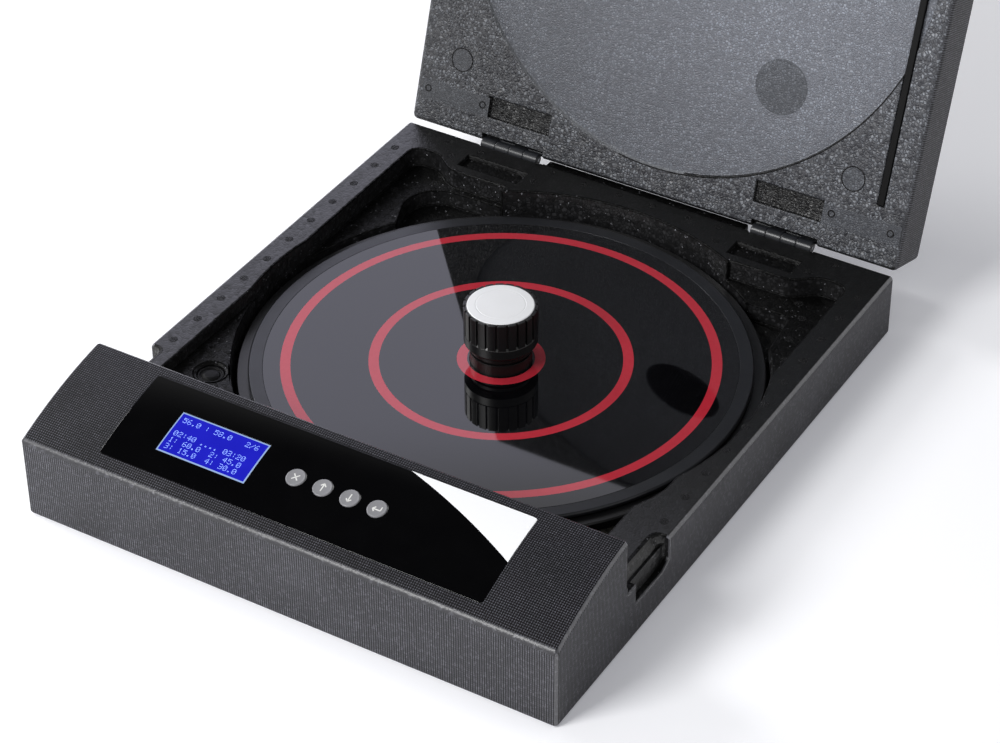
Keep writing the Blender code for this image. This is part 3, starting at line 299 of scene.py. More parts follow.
def soften(bm, width, steps, wanted=None, sharper_than=40):
    """Rounds the sharp edges of a mesh, or those a rule picks, and returns the new faces. A point that
    strays from the old surface is pulled back to it."""
    old_skin = BVHTree.FromBMesh(bm)
    edges = []
    for edge in bm.edges:
        if len(edge.link_faces) == 2 and edge.calc_face_angle() > sharper_than * degrees:
            if wanted is None or wanted(edge):
                edges.append(edge)
    made = bmesh.ops.bevel(bm, geom=edges, offset=width, offset_type="OFFSET", segments=steps, profile=0.5,
                           affect="EDGES", clamp_overlap=False)
    strays = 0
    for vert in bm.verts:
        nearest, _, _, away = old_skin.find_nearest(vert.co)
        if away > 0.6 * width:
            vert.co = nearest
            strays += 1
    bmesh.ops.recalc_face_normals(bm, faces=bm.faces)
    if strays:
        print("points pulled back to the surface:", strays)
    return set(made["faces"])


def carve(made, cutter):
    """Cuts one object with another and removes the cutter."""
    change = made.modifiers.new("carve", "BOOLEAN")
    change.operation = "DIFFERENCE"
    change.solver = "EXACT"
    change.object = cutter
    evaluated(made)
    bpy.data.objects.remove(cutter, do_unlink=True)


def add_box(bm, x_range, y_range, z_range):
    """Adds a closed box, with its sides in mm, to a bmesh."""
    corners = [bm.verts.new(Vector((x, y, z)) * mm) for z in z_range for y in y_range for x in x_range]
    for a, b, c, d in ((0, 2, 3, 1), (4, 5, 7, 6), (0, 1, 5, 4), (2, 6, 7, 3), (0, 4, 6, 2), (1, 3, 7, 5)):
        bm.faces.new((corners[a], corners[b], corners[c], corners[d]))


def add_turned(bm, profile, centre=(0, 0), steps=192):
    """Spins (radius, height) pairs in mm about an upright axis. Ends that are off the axis are joined."""
    rings = []
    for radius, level in profile:
        count = steps if radius else 1
        ring = []
        for step in range(count):
            angle = 2 * math.pi * step / steps
            place = (centre[0] + radius * math.cos(angle), centre[1] + radius * math.sin(angle), level)
            ring.append(bm.verts.new(Vector(place) * mm))
        rings.append(ring)
    pairs = list(zip(rings, rings[1:]))
    if profile[0][0]:
        pairs.append((rings[-1], rings[0]))
    faces = []
    for low, high in pairs:
        for step in range(steps):
            after = (step + 1) % steps
            if len(low) == 1:
                faces.append(bm.faces.new((low[0], high[after], high[step])))
            elif len(high) == 1:
                faces.append(bm.faces.new((low[step], low[after], high[0])))
            else:
                faces.append(bm.faces.new((low[step], low[after], high[after], high[step])))
    bmesh.ops.recalc_face_normals(bm, faces=faces)
    return faces


def rounded_profile(profile, radius, steps=4):
    """Rounds the corners of a profile, except its two ends, in mm."""
    made = [profile[0]]
    for before, corner, after in zip(profile, profile[1:], profile[2:]):
        corner = Vector(corner)
        back = Vector(before) - corner
        ahead = Vector(after) - corner
        reach = min(radius, 0.45 * back.length, 0.45 * ahead.length)
        start = corner + back.normalized() * reach
        end = corner + ahead.normalized() * reach
        for step in range(steps + 1):
            share = step / steps
            made.append(tuple(start.lerp(corner, share).lerp(corner.lerp(end, share), share)))
    made.append(profile[-1])
    return made


plate_centre = (plate_axis.x / mm, plate_axis.y / mm)
print("plate axis in mm:", plate_centre)

# %% [markdown]
# ## Bead foam
# The case and lid are expanded polypropylene: black beads that steam has fused in a mould. Two skins show. On
# the outside the mould's wall has a woven texture, so the foam carries a grid of small raised squares, about
# 1.5 mm apart. Inside, the wall is smooth, so the beads themselves show, 2 to 3 mm wide, each with its own
# slight tilt and a fine groove round it.
#
# An image texture could do this, but a procedural one has no seams and a true scale. The weave reads a UV map
# that is unfolded in metres. The beads are Voronoi cells in Object coordinates: the distance to the cell's
# edge makes the groove, and the cell's random colour tilts its normal, so single beads glint. Some foams
# also carry painted glints, tiny specks painted pale, and some a painted sheen that lightens them round a
# spot.

# %% Woven skin
weave_pitch = 1.5 * mm
bead_width = 2.6 * mm
# Painted glints: tiny specks this size, this rare, are painted pale as if they caught the light.
painted_glint_size = 0.7 * mm
share_without_painted_glint = 0.994


def woven_foam(name, dark, light, dots, sheen):
    """Moulded bead foam with a woven skin. Dots is 1 for a square grid and 0 for upright ribs."""
    made, tree, shader, place = new_material(name, 0.5, sheen)
    uv = node(tree, "UVMap", {"uv_map": "metres"})
    wander = node(tree, "TexNoise", Vector=place, Scale=1 / (9 * mm), Detail=2.0).outputs["Color"]
    centred = node(tree, "VectorMath", "SUBTRACT", i0=wander, i1=(0.5, 0.5, 0.5))
    offset = node(tree, "VectorMath", "SCALE", i0=centred, Scale=0.5 * mm)
    axes = node(tree, "SeparateXYZ", Vector=node(tree, "VectorMath", "ADD", i0=uv, i1=offset))
    waves = []
    for axis in ("X", "Y"):
        turns = node(tree, "Math", "MULTIPLY", i0=axes.outputs[axis], i1=2 * math.pi / weave_pitch)
        wave = node(tree, "Math", "SINE", i0=turns)
        waves.append(node(tree, "MapRange", Value=wave, From_Min=-1.0, From_Max=1.0))
    across = node(tree, "MapRange", Value=waves[1], To_Min=1.0 - dots)
    woven = node(tree, "Math", "MULTIPLY", i0=waves[0], i1=across)
    grid = node(tree, "MapRange", smooth_step, Value=woven, From_Min=0.1 * dots, From_Max=1.0 - 0.3 * dots)
    cells = node(tree, "TexVoronoi", Vector=place, Scale=1 / weave_pitch)
    random = node(tree, "SeparateXYZ", Vector=cells.outputs["Color"])
    lively = node(tree, "Math", "POWER", i0=random, i1=6.0)
    uneven = node(tree, "MapRange", Value=lively, To_Min=0.65, To_Max=1.9)
    raised = node(tree, "Math", "MULTIPLY", i0=grid, i1=uneven)
    patches = node(tree, "TexNoise", Vector=place, Scale=1 / (45 * mm), Detail=4.0)
    patchy = node(tree, "MapRange", Value=patches, From_Min=0.3, From_Max=0.7, To_Min=0.75, To_Max=1.25)
    share = node(tree, "Math", "MULTIPLY", i0=raised, i1=patchy)
    mixed = node(tree, "MixRGB", Fac=share, Color1=dark, Color2=light)
    coat(tree, shader, mixed, raised, 0.25 * mm, 0.8)
    return made


# %% Bead skin
def bead_foam(name, dark, light, bead=bead_width, tilt=0.35, roughness=0.45, groove=0.25 * mm, sheen=0.5,
              painted_sheen_spot=None, painted_glint=None):
    """Moulded bead foam whose fused beads show. A painted sheen can lighten it round a spot, and tiny
    specks can be painted pale as if they caught the light.
    """
    made, tree, shader, place = new_material(name, roughness, sheen)
    edges = node(tree, "TexVoronoi", {"feature": "DISTANCE_TO_EDGE"}, Vector=place, Scale=1 / bead)
    cells = node(tree, "TexVoronoi", Vector=place, Scale=1 / bead).outputs["Color"]
    plump = node(tree, "MapRange", smooth_step, Value=edges.outputs["Distance"], From_Max=0.28)
    random = node(tree, "SeparateXYZ", Vector=cells).outputs["Y"]
    patches = node(tree, "TexNoise", Vector=place, Scale=1 / (30 * mm), Detail=5.0)
    varied = node(tree, "Math", "MULTIPLY", i0=random, i1=patches)
    spread = node(tree, "MapRange", Value=varied, From_Min=0.1, From_Max=0.5)
    share = node(tree, "Math", "MULTIPLY", i0=spread, i1=plump)
    mixed = node(tree, "MixRGB", Fac=share, Color1=dark, Color2=light)
    # Painted glint: a few tiny specks take a pale colour, as if they caught the light.
    if painted_glint:
        specks = node(tree, "TexVoronoi", Vector=place, Scale=1 / painted_glint_size)
        chance = node(tree, "SeparateXYZ", Vector=specks.outputs["Color"])
        lucky = node(tree, "Math", "GREATER_THAN", i0=chance, i1=share_without_painted_glint)
        mixed = node(tree, "MixRGB", Fac=lucky, Color1=mixed, Color2=painted_glint)
    # Painted sheen: the colour grows up to gain times lighter towards the spot, as if a light shone there.
    if painted_sheen_spot:
        spot, reach, gain = painted_sheen_spot
        apart = node(tree, "VectorMath", "DISTANCE", i0=place, i1=spot).outputs["Value"]
        painted_sheen = node(tree, "MapRange", smooth_step, Value=apart, From_Max=reach, To_Min=gain, To_Max=1.0)
        mixed = node(tree, "VectorMath", "SCALE", i0=mixed, Scale=painted_sheen)
    coat(tree, shader, mixed)
    bump = node(tree, "Bump", Height=plump, Distance=groove, Strength=0.9)
    centred = node(tree, "VectorMath", "SUBTRACT", i0=cells, i1=(0.5, 0.5, 0.5))
    lean = node(tree, "VectorMath", "SCALE", i0=centred, Scale=tilt)
    leaning = node(tree, "VectorMath", "ADD", i0=bump, i1=lean)
    normal = node(tree, "VectorMath", "NORMALIZE", i0=leaning)
    tree.links.new(normal.outputs[0], shader.inputs["Normal"])
    return made


foam_console = woven_foam("moulded_bead_foam_woven_grid", "#020203", "#54545C", dots=1.0, sheen=0.16)
foam_side = woven_foam("moulded_bead_foam_woven_ribs", "#0D0D0F", "#67676F", dots=0.35, sheen=0.4)
# The inner foams are dotted with painted glints.
foam_rim = bead_foam("moulded_bead_foam_smooth_rim", "#020202", "#0B0B0C", tilt=0.07, roughness=0.36,
                     groove=0.05 * mm, painted_glint="#242425")
foam_floor = bead_foam("moulded_bead_foam_matt_floor", "#020202", "#0C0C0D", tilt=0.3, roughness=0.5,
                       groove=0.12 * mm, sheen=0.16, painted_glint="#5A5A5E")
# Upright inner walls: the inner foam painted several times lighter, as painted light from the lamps.
foam_wall_painted_light = bead_foam("moulded_bead_foam_wall_painted_light", "#121213", "#303032", tilt=0.16, roughness=0.34,
                      groove=0.08 * mm, sheen=0.45, painted_glint="#7A7A80")
# Rounded outer edges: a smoother, glossier moulded skin, painted lighter as a painted highlight.
foam_front_edge_painted_highlight = bead_foam("moulded_bead_foam_front_edge_painted_highlight", "#333337", "#4E4E54", tilt=0.04, roughness=0.36,
                            groove=0.05 * mm)
foam_edge_painted_highlight = bead_foam("moulded_bead_foam_smooth_edge_painted_highlight", "#4C4C51", "#606066", tilt=0.05, roughness=0.26,
                      groove=0.03 * mm, sheen=1.0)
print("weave", weave_pitch / mm, "mm, beads", bead_width / mm, "mm")

# %% [markdown]
# ## Lower case
# The case is one moulding: a console in front, a rim, corner pockets and a round well. Foam never has a sharp
# edge, so every long edge gets a true radius of about a millimetre from the Bevel operator. The seats of the
# hinges stay sharp, because their metal covers them. Each face then takes the skin of its side of the mould
# and a UV map unfolded in metres: straight along the walls, and along the slope on the console. The rounded
# outer edges have a smoother, glossier skin and a lighter colour as a painted highlight, and the upright
# inner walls are painted lighter than the floors and rim as painted light.

# %% Case helpers
def unfold(bm):
    """Gives every face a UV map in metres, laid flat along the face's main direction."""
    layer = bm.loops.layers.uv.new("metres")
    for face in bm.faces:
        normal = face.normal
        for loop in face.loops:
            x, y, z = loop.vert.co
            if abs(normal.x) > 0.7:
                loop[layer].uv = (y, z)
            elif abs(normal.y) > 0.7:
                loop[layer].uv = (x, z)
            else:
                loop[layer].uv = (x, y * math.cos(slope) + z * math.sin(slope))


def middle(edge):
    """The middle of an edge in mm."""
    return (edge.verts[0].co + edge.verts[1].co) / 2 / mm


# %% Lower case
console_back = 78.5 - 211
edge_width = 1.2


def case_edge(edge):
    """Edges long enough to round, away from the hinge seats and the hidden bays."""
    x, y, z = middle(edge)
    in_hinge_seat = 74 < abs(x) < 128 and y > 199
    in_bay = -209 < y < -139 and abs(x) < 150 and 2 < z < 74.5
    in_notch = 150 < abs(x) < 178 and -134 < y < -92 and 15 < z < 43.8
    round_panel = -204 < y < -138 and abs(x) < 132 and z > 50
    return edge.calc_length() > 0.9 * mm and not (in_hinge_seat or in_bay or in_notch or round_panel)


case = joined_solid("base_case", weld=0.3 * mm)
rounded = soften(case, edge_width * mm, 2, case_edge)
unfold(case)
case.faces.ensure_lookup_table()
for face in case.faces:
    x, y, z = face.calc_center_median() / mm
    outside = abs(x) > 178.6 or y < -209.6 or (y > 209.8 and abs(x) > 72)
    at_border = abs(x) > 177.5 or y < -208.8 or (z > 60 and y > console_back - 2)
    on_console = y < console_back + 0.5 and z > 54.5 and face.normal.z > 0.6
    at_front_top = y < -207.5 and z > 50 and 0.25 < face.normal.z < 0.85
    # Painted highlight on the front top edge and outer rounded edges; painted light on upright inner walls.
    if at_front_top:
        face.material_index = 6
    elif face in rounded:
        face.material_index = 3 if at_border else 4
    elif on_console or outside:
        face.material_index = 0 if on_console else 1
    else:
        face.material_index = 5 if abs(face.normal.z) < 0.5 else 4 if z < 43 else 2
case_skins = (foam_console, foam_side, foam_rim, foam_edge_painted_highlight, foam_floor, foam_wall_painted_light, foam_front_edge_painted_highlight)
dressed(bare_object("foam_case", case), "base", case_skins, ("base_case",))

# %% [markdown]
# ## Lid
# The lid is the same foam, open at 108 degrees, so its inner side faces the camera. It is worked on in its
# closed position, in the hinge's frame. Its inner side has fine beads in the round recess and coarse ones
# round it, so its faces take their skin by where they lie. The hinge recesses and the recess wall's right
# part are coarse and dark with painted shade, the rest of that wall is pale with painted light, and a painted
# sheen lightens the inner side round a spot right of the middle.

# %% Lid
def lid_place(across, from_hinge):
    """A place on the lid's inner face, in mm of the lid's frame."""
    return Vector((across, -0.8 - from_hinge))


def lid_edge(edge):
    """Edges to round, away from the slots of the hinge leaves."""
    x, y, z = middle(edge)
    in_hinge_seat = 74 < abs(x) < 126 and y > -9
    return edge.calc_length() > 0.9 * mm and not in_hinge_seat


# Painted sheen: the lid's inner foam grows up to 2.1 times lighter round a spot right of its middle.
painted_sheen_spot = (lid_frame @ Vector((0.10, -0.17, 0)), 0.27, 2.1)
foam_lid_fine = bead_foam("moulded_bead_foam_lid_recess", "#4A4C52", "#666A72", bead=1.7 * mm, tilt=0.06,
                          roughness=0.42, painted_sheen_spot=painted_sheen_spot)
foam_lid_coarse = bead_foam("moulded_bead_foam_lid_border", "#2A2B2F", "#66696F", bead=2.1 * mm, tilt=0.32,
                            roughness=0.42, groove=0.3 * mm, painted_sheen_spot=painted_sheen_spot)
# Painted shade: hinge recesses and the recess wall's right part. Painted light: the rest of that wall.
foam_lid_painted_shade = bead_foam("moulded_bead_foam_lid_painted_shade", "#060607", "#242528", bead=1.8 * mm, tilt=0.4,
                          roughness=0.42, groove=0.3 * mm)
foam_lid_mark = bead_foam("moulded_bead_foam_lid_mark", "#2C2E33", "#484B51", bead=1.5 * mm, tilt=0.08,
                          roughness=0.45, groove=0.1 * mm, painted_sheen_spot=painted_sheen_spot)
foam_lid_wall_painted_light = bead_foam("moulded_bead_foam_lid_wall_painted_light", "#6E7074", "#8A8C90", bead=1.8 * mm, tilt=0.3)
lid = joined_solid("lid_shell", weld=0.1 * mm)
lid.transform(lid_frame.inverted())
bmesh.ops.recalc_face_normals(lid, faces=lid.faces)
soften(lid, edge_width * mm, 2, lid_edge)
lid_centre = Vector((plate_axis.x / mm, plate_axis.y / mm - 211.8))
for face in lid.faces:
    x, y, z = face.calc_center_median() / mm
    inner = z < 12 and abs(x) < 178.4 and -341.5 < y < -1.0
    from_axis = (Vector((x, y)) - lid_centre).length
    on_wall = 164.5 < from_axis < 167.5 and abs(face.normal.z) < 0.9
    # Painted shade: right part of the recess wall, hinge recesses. Painted light: the rest of the wall.
    dark = (on_wall and x > 20) or (z > 0.6 and y > -47 and from_axis > 167.5)
    skin = 3 if dark else 4 if on_wall else 1 if from_axis < 166 and z > 2 else 2
    face.material_index = skin if inner else 0
unfold(lid)
lid.transform(lid_frame)
lid_skins = (foam_side, foam_lid_fine, foam_lid_coarse, foam_lid_painted_shade, foam_lid_wall_painted_light)
dressed(bare_object("foam_lid", lid), "lid", lid_skins, ("lid_shell",))

# %% [markdown]
# ## Plates
# Both plates are turned aluminium. The lower one, over the heating mat, is anodised black. The upper one is
# bead-blasted and grey, and carries a disc of gloss black acrylic with three red rings printed under it. A
# lathe shape is a profile spun about an axis, so each plate is a list of radius and height pairs with its
# corners rounded, as a tool would leave them.

# %% Plate finishes
tool_ridge = 0.35 * mm


def from_axis(tree, place, across, along):
    """How far a place lies from the upright axis at a spot in metres."""
    centred = node(tree, "Mapping", Vector=place, Location=(-across, -along, 0))
    flat = node(tree, "VectorMath", "MULTIPLY", i0=centred, i1=(1, 1, 0))
    return node(tree, "VectorMath", "LENGTH", i0=flat).outputs["Value"]


def turned_metal(name, dark, light, roughness, metallic=1.0):
    """Turned metal, with the fine rings that the tool leaves about the plate's axis."""
    made, tree, shader, place = new_material(name, roughness, metallic=metallic)
    radius = from_axis(tree, place, plate_axis.x, plate_axis.y)
    rings = node(tree, "TexNoise", {"noise_dimensions": "1D"}, W=radius, Scale=1 / tool_ridge, Detail=2.0)
    coat(tree, shader, clouded(tree, place, 12 * mm, dark, light, 4.0), rings, 0.01 * mm, 0.6)
    return made


def ringed_gloss(name, rings, width):
    """Gloss black acrylic with printed red rings, each at its radius from the plate's axis, in mm."""
    made, tree, shader, place = new_material(name, 0.03)
    radius = from_axis(tree, place, plate_axis.x, plate_axis.y)
    printed = 0.0
    for middle_radius in rings:
        inside = node(tree, "Math", "COMPARE", i0=radius, i1=middle_radius * mm, i2=width * mm / 2)
        printed = node(tree, "Math", "ADD", i0=printed, i1=inside)
    black = clouded(tree, place, 3 * mm, "#020203", "#08080A")
    red = clouded(tree, place, 3 * mm, "#A2222F", "#AE2B39")
    coat(tree, shader, node(tree, "MixRGB", Fac=printed, Color1=black, Color2=red))
    return made


plate_black = turned_metal("anodised_aluminium_turned_black", "#0B0B0C", "#141416", 0.34, metallic=0.2)
plate_grey = turned_metal("anodised_aluminium_bead_blasted_grey", "#1E1F22", "#2A2B2F", 0.3, metallic=0.4)
face_gloss = ringed_gloss("gloss_acrylic_printed_rings", (24, 78, 132), 6.4)

# %% Plates
bore = 3.65


def turned_piece(name, profile, body, surface, solid, rounding, steps=256):
    """A piece spun about the plates' axis."""
    bm = bmesh.new()
    add_turned(bm, rounded_profile(profile, rounding), plate_centre, steps)
    dressed(bare_object(name, bm), body, (surface,), (solid,))


heater_profile = [(bore, 21.2), (162.2, 21.2), (162.2, 26.4), (161.4, 27.2), (6.1, 27.2), (6.1, 24.9),
                  (bore, 24.9)]
turned_piece("heater_plate_turned", heater_profile, "base", plate_black, "heater_plate", 0.25)
press_profile = [(bore, 28.6), (154.9, 28.6), (154.9, 30.4), (153.9, 31.4), (145.9, 31.4), (145.9, 30.2),
                 (bore, 30.2)]
turned_piece("press_plate_turned", press_profile, "press", plate_grey, "press_plate", 0.25)
face_profile = [(19.6, 30.5), (145.8, 30.5), (145.8, 31.4), (19.6, 31.4)]
turned_piece("gloss_disc", face_profile, "press", face_gloss, "gloss_face", 0.15)

# %% [markdown]
# ## Stem, collar, knob and cap
# The stem and the collar are turned black plastic with a matt sheen. The knob is moulded, with 22 broad ribs
# above a smooth band and a chamfered foot. A white domed cap closes its top. The body is a lathe shape as
# deep as the grooves, and Geometry Nodes set one rib on each point of a circle, so their number and size stay
# inputs.

# %% Plastic finishes
def moulded_plastic(name, dark, light, roughness, grain=0.5 * mm, depth=0.02 * mm, sheen=0.5):
    """Moulded plastic with a fine eroded grain."""
    made, tree, shader, place = new_material(name, roughness, sheen)
    eroded = node(tree, "TexNoise", Vector=place, Scale=1 / grain, Detail=3.0)
    coat(tree, shader, clouded(tree, place, 14 * mm, dark, light), eroded, depth, 0.5)
    return made


knob_plastic = moulded_plastic("ABS_moulded_satin_black", "#08080A", "#0E0E10", 0.34)
stem_plastic = moulded_plastic("ABS_turned_matt_black", "#060607", "#0B0B0C", 0.42, sheen=0.3)
cap_plastic = moulded_plastic("ABS_moulded_satin_white", "#DCDDE0", "#E4E5E8", 0.35, depth=0.008 * mm)

# %% Geometry Nodes helpers
def growth(name, *inputs):
    """A Geometry Nodes tree and its two end nodes. Its inputs are numbers, and Count is a whole one."""
    tree = bpy.data.node_groups.new(name, "GeometryNodeTree")
    tree.interface.new_socket("Geometry", in_out="INPUT", socket_type="NodeSocketGeometry")
    for word in inputs:
        kind = "NodeSocketInt" if word == "Count" else "NodeSocketFloat"
        tree.interface.new_socket(word, in_out="INPUT", socket_type=kind)
    tree.interface.new_socket("Geometry", in_out="OUTPUT", socket_type="NodeSocketGeometry")
    return tree, node(tree, "NodeGroupInput"), node(tree, "NodeGroupOutput")


def end_growth(tree, last, end, surface):
    """Realizes the instances, sets their material and links the tree's output."""
    real = node(tree, "GeometryNodeRealizeInstances", Geometry=last)
    painted = node(tree, "GeometryNodeSetMaterial", Geometry=real, Material=surface)
    tree.links.new(painted.outputs[0], end.inputs[0])


def grown(name, start, tree, values):
    """Runs a tree on a mesh with its inputs set by identifier, and keeps the plain mesh that it makes."""
    made = bare_object(name, start)
    change = made.modifiers.new("growth", "NODES")
    change.node_group = tree
    for item in tree.interface.items_tree:
        if item.in_out == "INPUT" and item.name in values:
            change[item.identifier] = values[item.name]
    return evaluated(made)


# %% Ribs
rib_tree, given, end = growth("ribs_on_a_circle", "Count", "Circle", "Depth", "Width", "Height")
inputs = given.outputs
circle = node(rib_tree, "GeometryNodeMeshCircle", Vertices=inputs["Count"], Radius=inputs["Circle"])
sides = node(rib_tree, "CombineXYZ", X=inputs["Depth"], Y=inputs["Width"], Z=inputs["Height"])
bar = node(rib_tree, "GeometryNodeMeshCube", Size=sides, Vertices_Y=5)
outwards = node(rib_tree, "GeometryNodeInputPosition")
facing = node(rib_tree, "FunctionNodeAlignRotationToVector", {"axis": "X"}, Vector=outwards)
ribs = node(rib_tree, "GeometryNodeInstanceOnPoints", Points=circle, Instance=bar, Rotation=facing)
end_growth(rib_tree, ribs, end, knob_plastic)

knob_radius = 22.8
groove_depth = 1.2
inner = knob_radius - groove_depth
rib_count = 22
rib_bottom = 52.6
rib_top = 71.35
rib_width = 0.77 * 2 * math.pi * knob_radius / rib_count
rib_object = grown("knob_ribs", bmesh.new(), rib_tree,
                   {"Count": rib_count, "Circle": (knob_radius - 1.35) * mm, "Depth": 2.7 * mm,
                    "Width": rib_width * mm, "Height": (rib_top - rib_bottom) * mm})
ribbed = bmesh.new()
ribbed.from_mesh(rib_object.data)
soften(ribbed, 0.4 * mm, 3)
for vert in ribbed.verts:
    reach = vert.co.xy.length
    if reach > inner * mm:
        vert.co.xy *= min(1, knob_radius * mm / reach)
bmesh.ops.rotate(ribbed, verts=ribbed.verts, matrix=Matrix.Rotation(math.pi / rib_count, 3, "Z"))
bmesh.ops.translate(ribbed, verts=ribbed.verts,
                    vec=(plate_axis.x, plate_axis.y, (rib_top + rib_bottom) / 2 * mm))
bpy.data.objects.remove(rib_object, do_unlink=True)
body_profile = [(0, 66.5), (bore, 66.5), (bore, 57.8), (7.3, 57.8), (7.3, 43.5), (10.5, 43.5), (10.5, 55.5),
                (18.2, 55.5), (18.2, 43.5), (20.0, 43.5), (knob_radius, 46.3), (knob_radius, 52.4),
                (inner, 53.8), (inner, 71.2), (inner - 0.4, 71.6), (21.0, 71.6), (21.0, 68.7), (0, 68.7)]
add_turned(ribbed, rounded_profile(body_profile, 0.35), plate_centre, 192)
dressed(bare_object("knob_ribbed", ribbed), "knob", (knob_plastic,), ("knob_grip",))

# %% Cap, collar, washer and stem
cap_profile = [(0, 68.9), (20.8, 68.9), (20.8, 71.3), (20.3, 71.75), (15.6, 71.95), (15.4, 71.85),
               (15.0, 71.85), (14.8, 71.97), (10.4, 72.0), (0, 72.1)]
turned_piece("knob_cap_domed", cap_profile, "knob", cap_plastic, "knob_cap", 0.3, 192)
collar_profile = [(bore, 40.7), (19.3, 40.7), (19.3, 43.2), (bore, 43.2)]
turned_piece("collar_turned", collar_profile, "clamp", stem_plastic, "clamp_collar", 0.15, 192)
stem_profile = [(bore, 30.5), (19.3, 30.5), (19.3, 39.0), (bore, 39.0)]
turned_piece("stem_turned", stem_profile, "press", stem_plastic, "plate_stem", 0.15, 192)

# %% [markdown]
# ## Front panel
# The panel is a gloss black acrylic sheet, printed from behind and bent to the console's arc, with its back
# right corner left white along a wide curve. It has a window for the display and four round holes for the
# keys. A curved sheet with holes is quickest as a thick strip with its window and holes cut by Boolean. Its
# corners are rounded and its upper edges broken, so they catch a thin line of light.

# %% Panel finish
def printed_sheet(name, black, white, centre, radius):
    """Gloss acrylic, black inside a wide circle and white outside it, both in mm of the panel's plan."""
    made, tree, shader, place = new_material(name, 0.06)
    away = from_axis(tree, place, centre[0] * mm, centre[1] * mm)
    outside = node(tree, "Math", "GREATER_THAN", i0=away, i1=radius * mm)
    dark = clouded(tree, place, 20 * mm, black, "#050506", 2.0)
    coat(tree, shader, node(tree, "MixRGB", Fac=outside, Color1=dark, Color2=white))
    return made


panel_print = printed_sheet("gloss_acrylic_printed_panel", "#010102", "#F2F3F6", (-110.8, -651.7), 534.0)

# %% Panel
panel_across = (-129.7, 127.3)
panel_along = (-29.78, 32.42)
window_across = (-99.2, -38.4)
window_along = (-14.9, 14.2)
key_across = (-12.4, 5.7, 23.8, 41.9)
key_along = 0.5


def arched_sheet(bm, across, along, top, thickness, steps=40):
    """A sheet bent to the console's arc, in the frame of its slope, in mm."""
    rows = []
    for step in range(steps + 1):
        v = along[0] + (along[1] - along[0]) * step / steps
        level = top - console_drop(v * mm) / mm
        places = [(u, v, level - low) for low in (0, thickness) for u in across]
        rows.append([bm.verts.new(Vector(place) * mm) for place in places])
    for a, b in zip(rows, rows[1:]):
        for one, two in ((0, 1), (1, 3), (3, 2), (2, 0)):
            bm.faces.new((a[one], a[two], b[two], b[one]))
    for row in (rows[0], rows[-1]):
        bm.faces.new((row[0], row[1], row[3], row[2]))
    bmesh.ops.recalc_face_normals(bm, faces=bm.faces)


def upright_corner(edge):
    direction = (edge.verts[1].co - edge.verts[0].co).normalized()
    return abs(direction.z) > 0.9


def upper_edge(edge):
    """Edges of the sheet's upper face."""
    return any(face.normal.z > 0.9 for face in edge.link_faces) and not upright_corner(edge)


sheet = bmesh.new()
arched_sheet(sheet, panel_across, panel_along, 0, 2.0)
soften(sheet, 3.0 * mm, 6, upright_corner)
panel_object = bare_object("panel_sheet", sheet)
cutter = bmesh.new()
window_gap = 0.1
add_box(cutter, (window_across[0] - window_gap, window_across[1] + window_gap),
        (window_along[0] - window_gap, window_along[1] + window_gap), (-6, 3))
for place in key_across:
    add_turned(cutter, [(0, -6), (6.1, -6), (6.1, 3), (0, 3)], (place, key_along), 64)
carve(panel_object, bare_object("panel_cutter", cutter))
sheet = bmesh.new()
sheet.from_mesh(panel_object.data)
soften(sheet, 0.3 * mm, 2, upper_edge, sharper_than=60)
sheet.transform(panel_frame)
sheet.to_mesh(panel_object.data)
sheet.free()
dressed(panel_object, "base", (panel_print,), ("front_panel",))

# %% [markdown]
# ## Display
# The display is a blue liquid-crystal screen behind a clear window, lit from behind, with a pale frame of
# stray light round it. Its signs are dots in a 5 by 7 grid, as such displays draw them. The dots are points
# of a mesh, and Geometry Nodes put one small raised square on each. The rows show plain numbers: a set and a
# measured temperature, and the time left.

# %% Display finish
def lit_screen(name, deep, bright, half_width, half_height, border):
    """A lit blue screen with a pale border. It reads the window's own UV map, in metres from its middle."""
    made, tree, shader, _ = new_material(name, 0.08)
    uv = node(tree, "UVMap", {"uv_map": "metres"})
    axes = node(tree, "SeparateXYZ", Vector=node(tree, "VectorMath", "ABSOLUTE", i0=uv)).outputs
    near_side = node(tree, "Math", "GREATER_THAN", i0=axes["X"], i1=(half_width - border) * mm)
    near_end = node(tree, "Math", "GREATER_THAN", i0=axes["Y"], i1=(half_height - border) * mm)
    edge = node(tree, "Math", "MAXIMUM", i0=near_side, i1=near_end)
    blue = clouded(tree, uv, 15 * mm, deep, bright, 1.0)
    mixed = node(tree, "MixRGB", Fac=edge, Color1=blue, Color2="#A9C6F5")
    shader.inputs["Base Color"].default_value = colour("#06070E")
    tree.links.new(mixed.outputs[0], shader.inputs["Emission Color"])
    shader.inputs["Emission Strength"].default_value = 0.85
    return made


screen_blue = lit_screen("liquid_crystal_lit_blue", "#1A1CC4", "#2426DC", 30.4, 14.55, 0.75)
dot_light, tree, shader, place = new_material("liquid_crystal_lit_dots", 0.3)
dot_colour = clouded(tree, place, 4 * mm, "#7F9DF0", "#93B0F6", 2.0)
coat(tree, shader, dot_colour)
tree.links.new(dot_colour.outputs[0], shader.inputs["Emission Color"])
shader.inputs["Emission Strength"].default_value = 0.7

# %% Window
window_middle = ((window_across[0] + window_across[1]) / 2, (window_along[0] + window_along[1]) / 2)
glass = bmesh.new()
arched_sheet(glass, window_across, window_along, -0.15, 1.85, 24)
layer = glass.loops.layers.uv.new("metres")
for face in glass.faces:
    for loop in face.loops:
        loop[layer].uv = (loop.vert.co.x - window_middle[0] * mm, loop.vert.co.y - window_middle[1] * mm)
glass.transform(panel_frame)
dressed(bare_object("display_screen", glass), "base", (screen_blue,), ("display_window",), 30)

